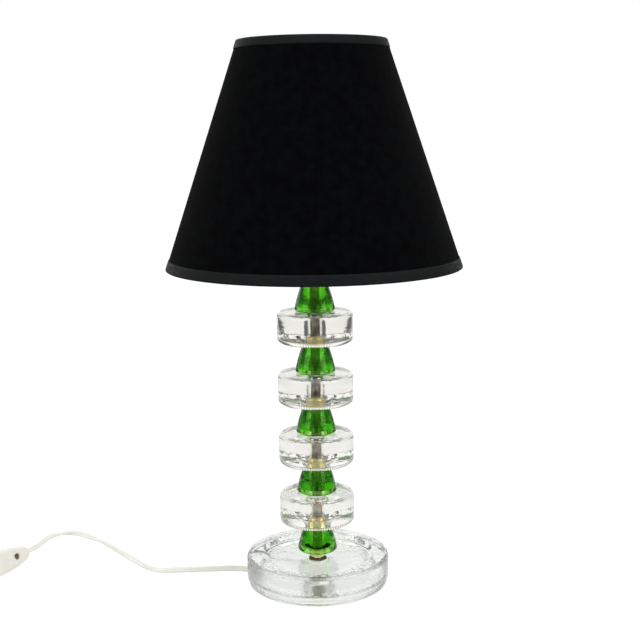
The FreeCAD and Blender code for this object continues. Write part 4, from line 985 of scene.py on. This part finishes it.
def make_world():
    """Even light on everything. Seen through glass, the room is white behind the lamp and
    overhead, and grey to the sides, which draws the edges of the glass."""
    world = bpy.data.worlds.new("studio")
    bpy.context.scene.world = world
    world.use_nodes = True
    tree = world.node_tree
    tree.nodes.clear()
    output = tree.nodes.new("ShaderNodeOutputWorld")
    place = tree.nodes.new("ShaderNodeTexCoord")
    split = tree.nodes.new("ShaderNodeSeparateXYZ")
    tree.links.new(place.outputs["Generated"], split.inputs[0])
    whitest = tree.nodes.new("ShaderNodeMath")
    whitest.operation = "MAXIMUM"
    ahead = tree.nodes.new("ShaderNodeVectorMath")
    ahead.operation = "DOT_PRODUCT"
    ahead.inputs[1].default_value = WHITE_MIDDLE
    tree.links.new(place.outputs["Generated"], ahead.inputs[0])
    for number, (along, (grey_end, white_end)) in enumerate((
            (ahead.outputs["Value"], WHITE_AHEAD), (split.outputs["Z"], WHITE_ABOVE))):
        rise = tree.nodes.new("ShaderNodeMapRange")
        rise.interpolation_type = "SMOOTHSTEP"
        rise.inputs["From Min"].default_value = grey_end
        rise.inputs["From Max"].default_value = white_end
        rise.inputs["To Min"].default_value = BACKDROP_GREY
        rise.inputs["To Max"].default_value = 1.0
        tree.links.new(along, rise.inputs["Value"])
        tree.links.new(rise.outputs["Result"], whitest.inputs[number])
    room = tree.nodes.new("ShaderNodeBackground")
    tree.links.new(whitest.outputs[0], room.inputs["Strength"])
    plain = tree.nodes.new("ShaderNodeBackground")
    plain.inputs["Strength"].default_value = WORLD_LIGHT
    white = tree.nodes.new("ShaderNodeBackground")
    white.inputs["Strength"].default_value = 1.0
    for node in (room, plain, white):
        node.inputs["Color"].default_value = (1, 1, 1, 1)
    by_glass = tree.nodes.new("ShaderNodeMixShader")
    tree.links.new(seen_directly(tree), by_glass.inputs[0])
    tree.links.new(plain.outputs[0], by_glass.inputs[1])
    tree.links.new(room.outputs[0], by_glass.inputs[2])
    by_eye = tree.nodes.new("ShaderNodeMixShader")
    path = tree.nodes.new("ShaderNodeLightPath")
    tree.links.new(path.outputs["Is Camera Ray"], by_eye.inputs[0])
    tree.links.new(by_glass.outputs[0], by_eye.inputs[1])
    tree.links.new(white.outputs[0], by_eye.inputs[2])
    tree.links.new(by_eye.outputs[0], output.inputs["Surface"])


def make_light(name, place, aim, width, height, power):
    """A rectangular lamp of the studio, turned to a point, with its power in watts."""
    data = bpy.data.lights.new(name, "AREA")
    data.shape = "RECTANGLE"
    data.size = width
    data.size_y = height
    data.energy = power
    light = bpy.data.objects.new(name, data)
    bpy.context.scene.collection.objects.link(light)
    light.location = place
    light.rotation_euler = (Vector(aim) - Vector(place)).to_track_quat("-Z", "Y").to_euler()


def make_lights():
    make_light("tall_right", (0.95, -0.75, 0.68), (0, 0, 0.25), 0.8, 0.6, 3.4)
    make_light("tall_left", (-1.05, -0.7, 0.68), (0, 0, 0.25), 0.8, 0.6, 3.0)
    make_light("over", (0.0, -0.5, 1.5), (0, 0, 0.2), 0.9, 0.6, 5.5)


# Materials for the solids that keep their own shape

def dress(finishes):
    """Gives the solids their finishes, each with the list of nodes that have it."""
    for finish, members in finishes:
        for node in members:
            solid = nodes[node]
            for place in solid.material_slots:
                place.material = finish
            solid.data.polygons.foreach_set("use_smooth", [True] * len(solid.data.polygons))
            solid.data.set_sharp_from_angle(angle=math.radians(25))


def main():
    make_camera()
    sheath = cord_plastic()
    make_cords(sheath)
    disc_glass = clear_glass("clear_glass", paint(251, 250, 245), 0.04, 10 * MM, 0.14 * MM,
                             0.035 * MM)
    foot_glass = clear_glass("foot_glass", paint(248, 251, 247), 0.03, 13 * MM, 0.65 * MM,
                             0.09 * MM)
    frosted = clear_glass("foot_underside", paint(248, 251, 247), 0.3, 6 * MM, 0.1 * MM,
                          0.03 * MM)
    dimples = clear_glass("foot_dimples", paint(248, 251, 247), 0.08, 5 * MM, 0.4 * MM,
                          0.12 * MM)
    green = green_glass()
    for number in range(1, 5):
        make_disc("clear_disc_%d" % number, disc_glass)
    for number in range(1, 6):
        make_cone("green_cone_%d" % number, green)
    make_foot(foot_glass, frosted, dimples)
    zinc = metal("zinc_steel", paint(190, 190, 186), paint(160, 159, 152), 0.34)
    make_rod(metal("rod_steel", paint(222, 219, 211), paint(176, 173, 165), 0.2))
    brass = metal("brass", paint(255, 249, 194), paint(246, 232, 164), 0.4)
    panel, bottom, top = make_shade()
    plug = plastic("plug_plastic", paint(232, 232, 226), paint(225, 225, 217), 0.35)
    dress([
        (brass, ["foot_nut", "foot_collar", "screw_sleeve", "centre_tongue", "terminal_screws",
                 "switch_contacts", "contact_bridge", "bulb_tip"]
         + ["brass_collar_%d" % number for number in range(1, 5)]),
        (zinc, ["lock_nut", "top_washer", "top_nut", "rocker_pin"]),
        (metal("yellow_zinc", paint(250, 242, 208), paint(238, 226, 184), 0.3),
         ["steel_washer"]),
        # The switch screws are steel, painted a darker brown that stands in for the shade in
        # their recesses.
        (metal("screw_steel_painted_shade", paint(150, 132, 114), paint(112, 97, 82), 0.4), ["switch_screws"]),
        (plastic("white_enamel", paint(228, 228, 224), paint(220, 220, 214), 0.35, 0.02, 0.3),
         ["shade_fitter", "bottom_wire", "top_wire"]),
        (rubber(), ["rubber_washer"]),
        (plastic("black_bakelite", paint(40, 38, 37), paint(30, 28, 27), 0.3, 0.01, 0.3),
         ["holder_cap", "holder_skirt", "shade_nut"]),
        (ceramic(), ["holder_core"]),
        (frosted_glass(), ["bulb_glass"]),
        (metal("aluminium", paint(214, 214, 216), paint(196, 196, 198), 0.22), ["bulb_cap"]),
        (plastic("core_insulation", paint(150, 92, 58), paint(128, 76, 46), 0.45),
         ["core_wires"]),
        (plastic("switch_plastic", paint(238, 236, 226), paint(232, 229, 217), 0.32, 0.012, 0.15),
         ["switch_front", "switch_back", "rocker", "rocker_plunger"]),
        (plug, ["plug_body", "plug_boot"]),
        (plastic("tie_plastic", paint(228, 228, 224), paint(218, 218, 212), 0.5), ["coil_ties"]),
        (plastic("clamp_plastic", paint(62, 62, 62), paint(48, 48, 48), 0.5),
         ["cord_clamps", "prong_sleeves"]),
        (metal("nickel", paint(214, 212, 204), paint(196, 193, 184), 0.18), ["plug_prongs"]),
    ])
    make_floor()
    make_world()
    make_lights()
    bpy.context.scene.view_settings.view_transform = "Standard"


main()
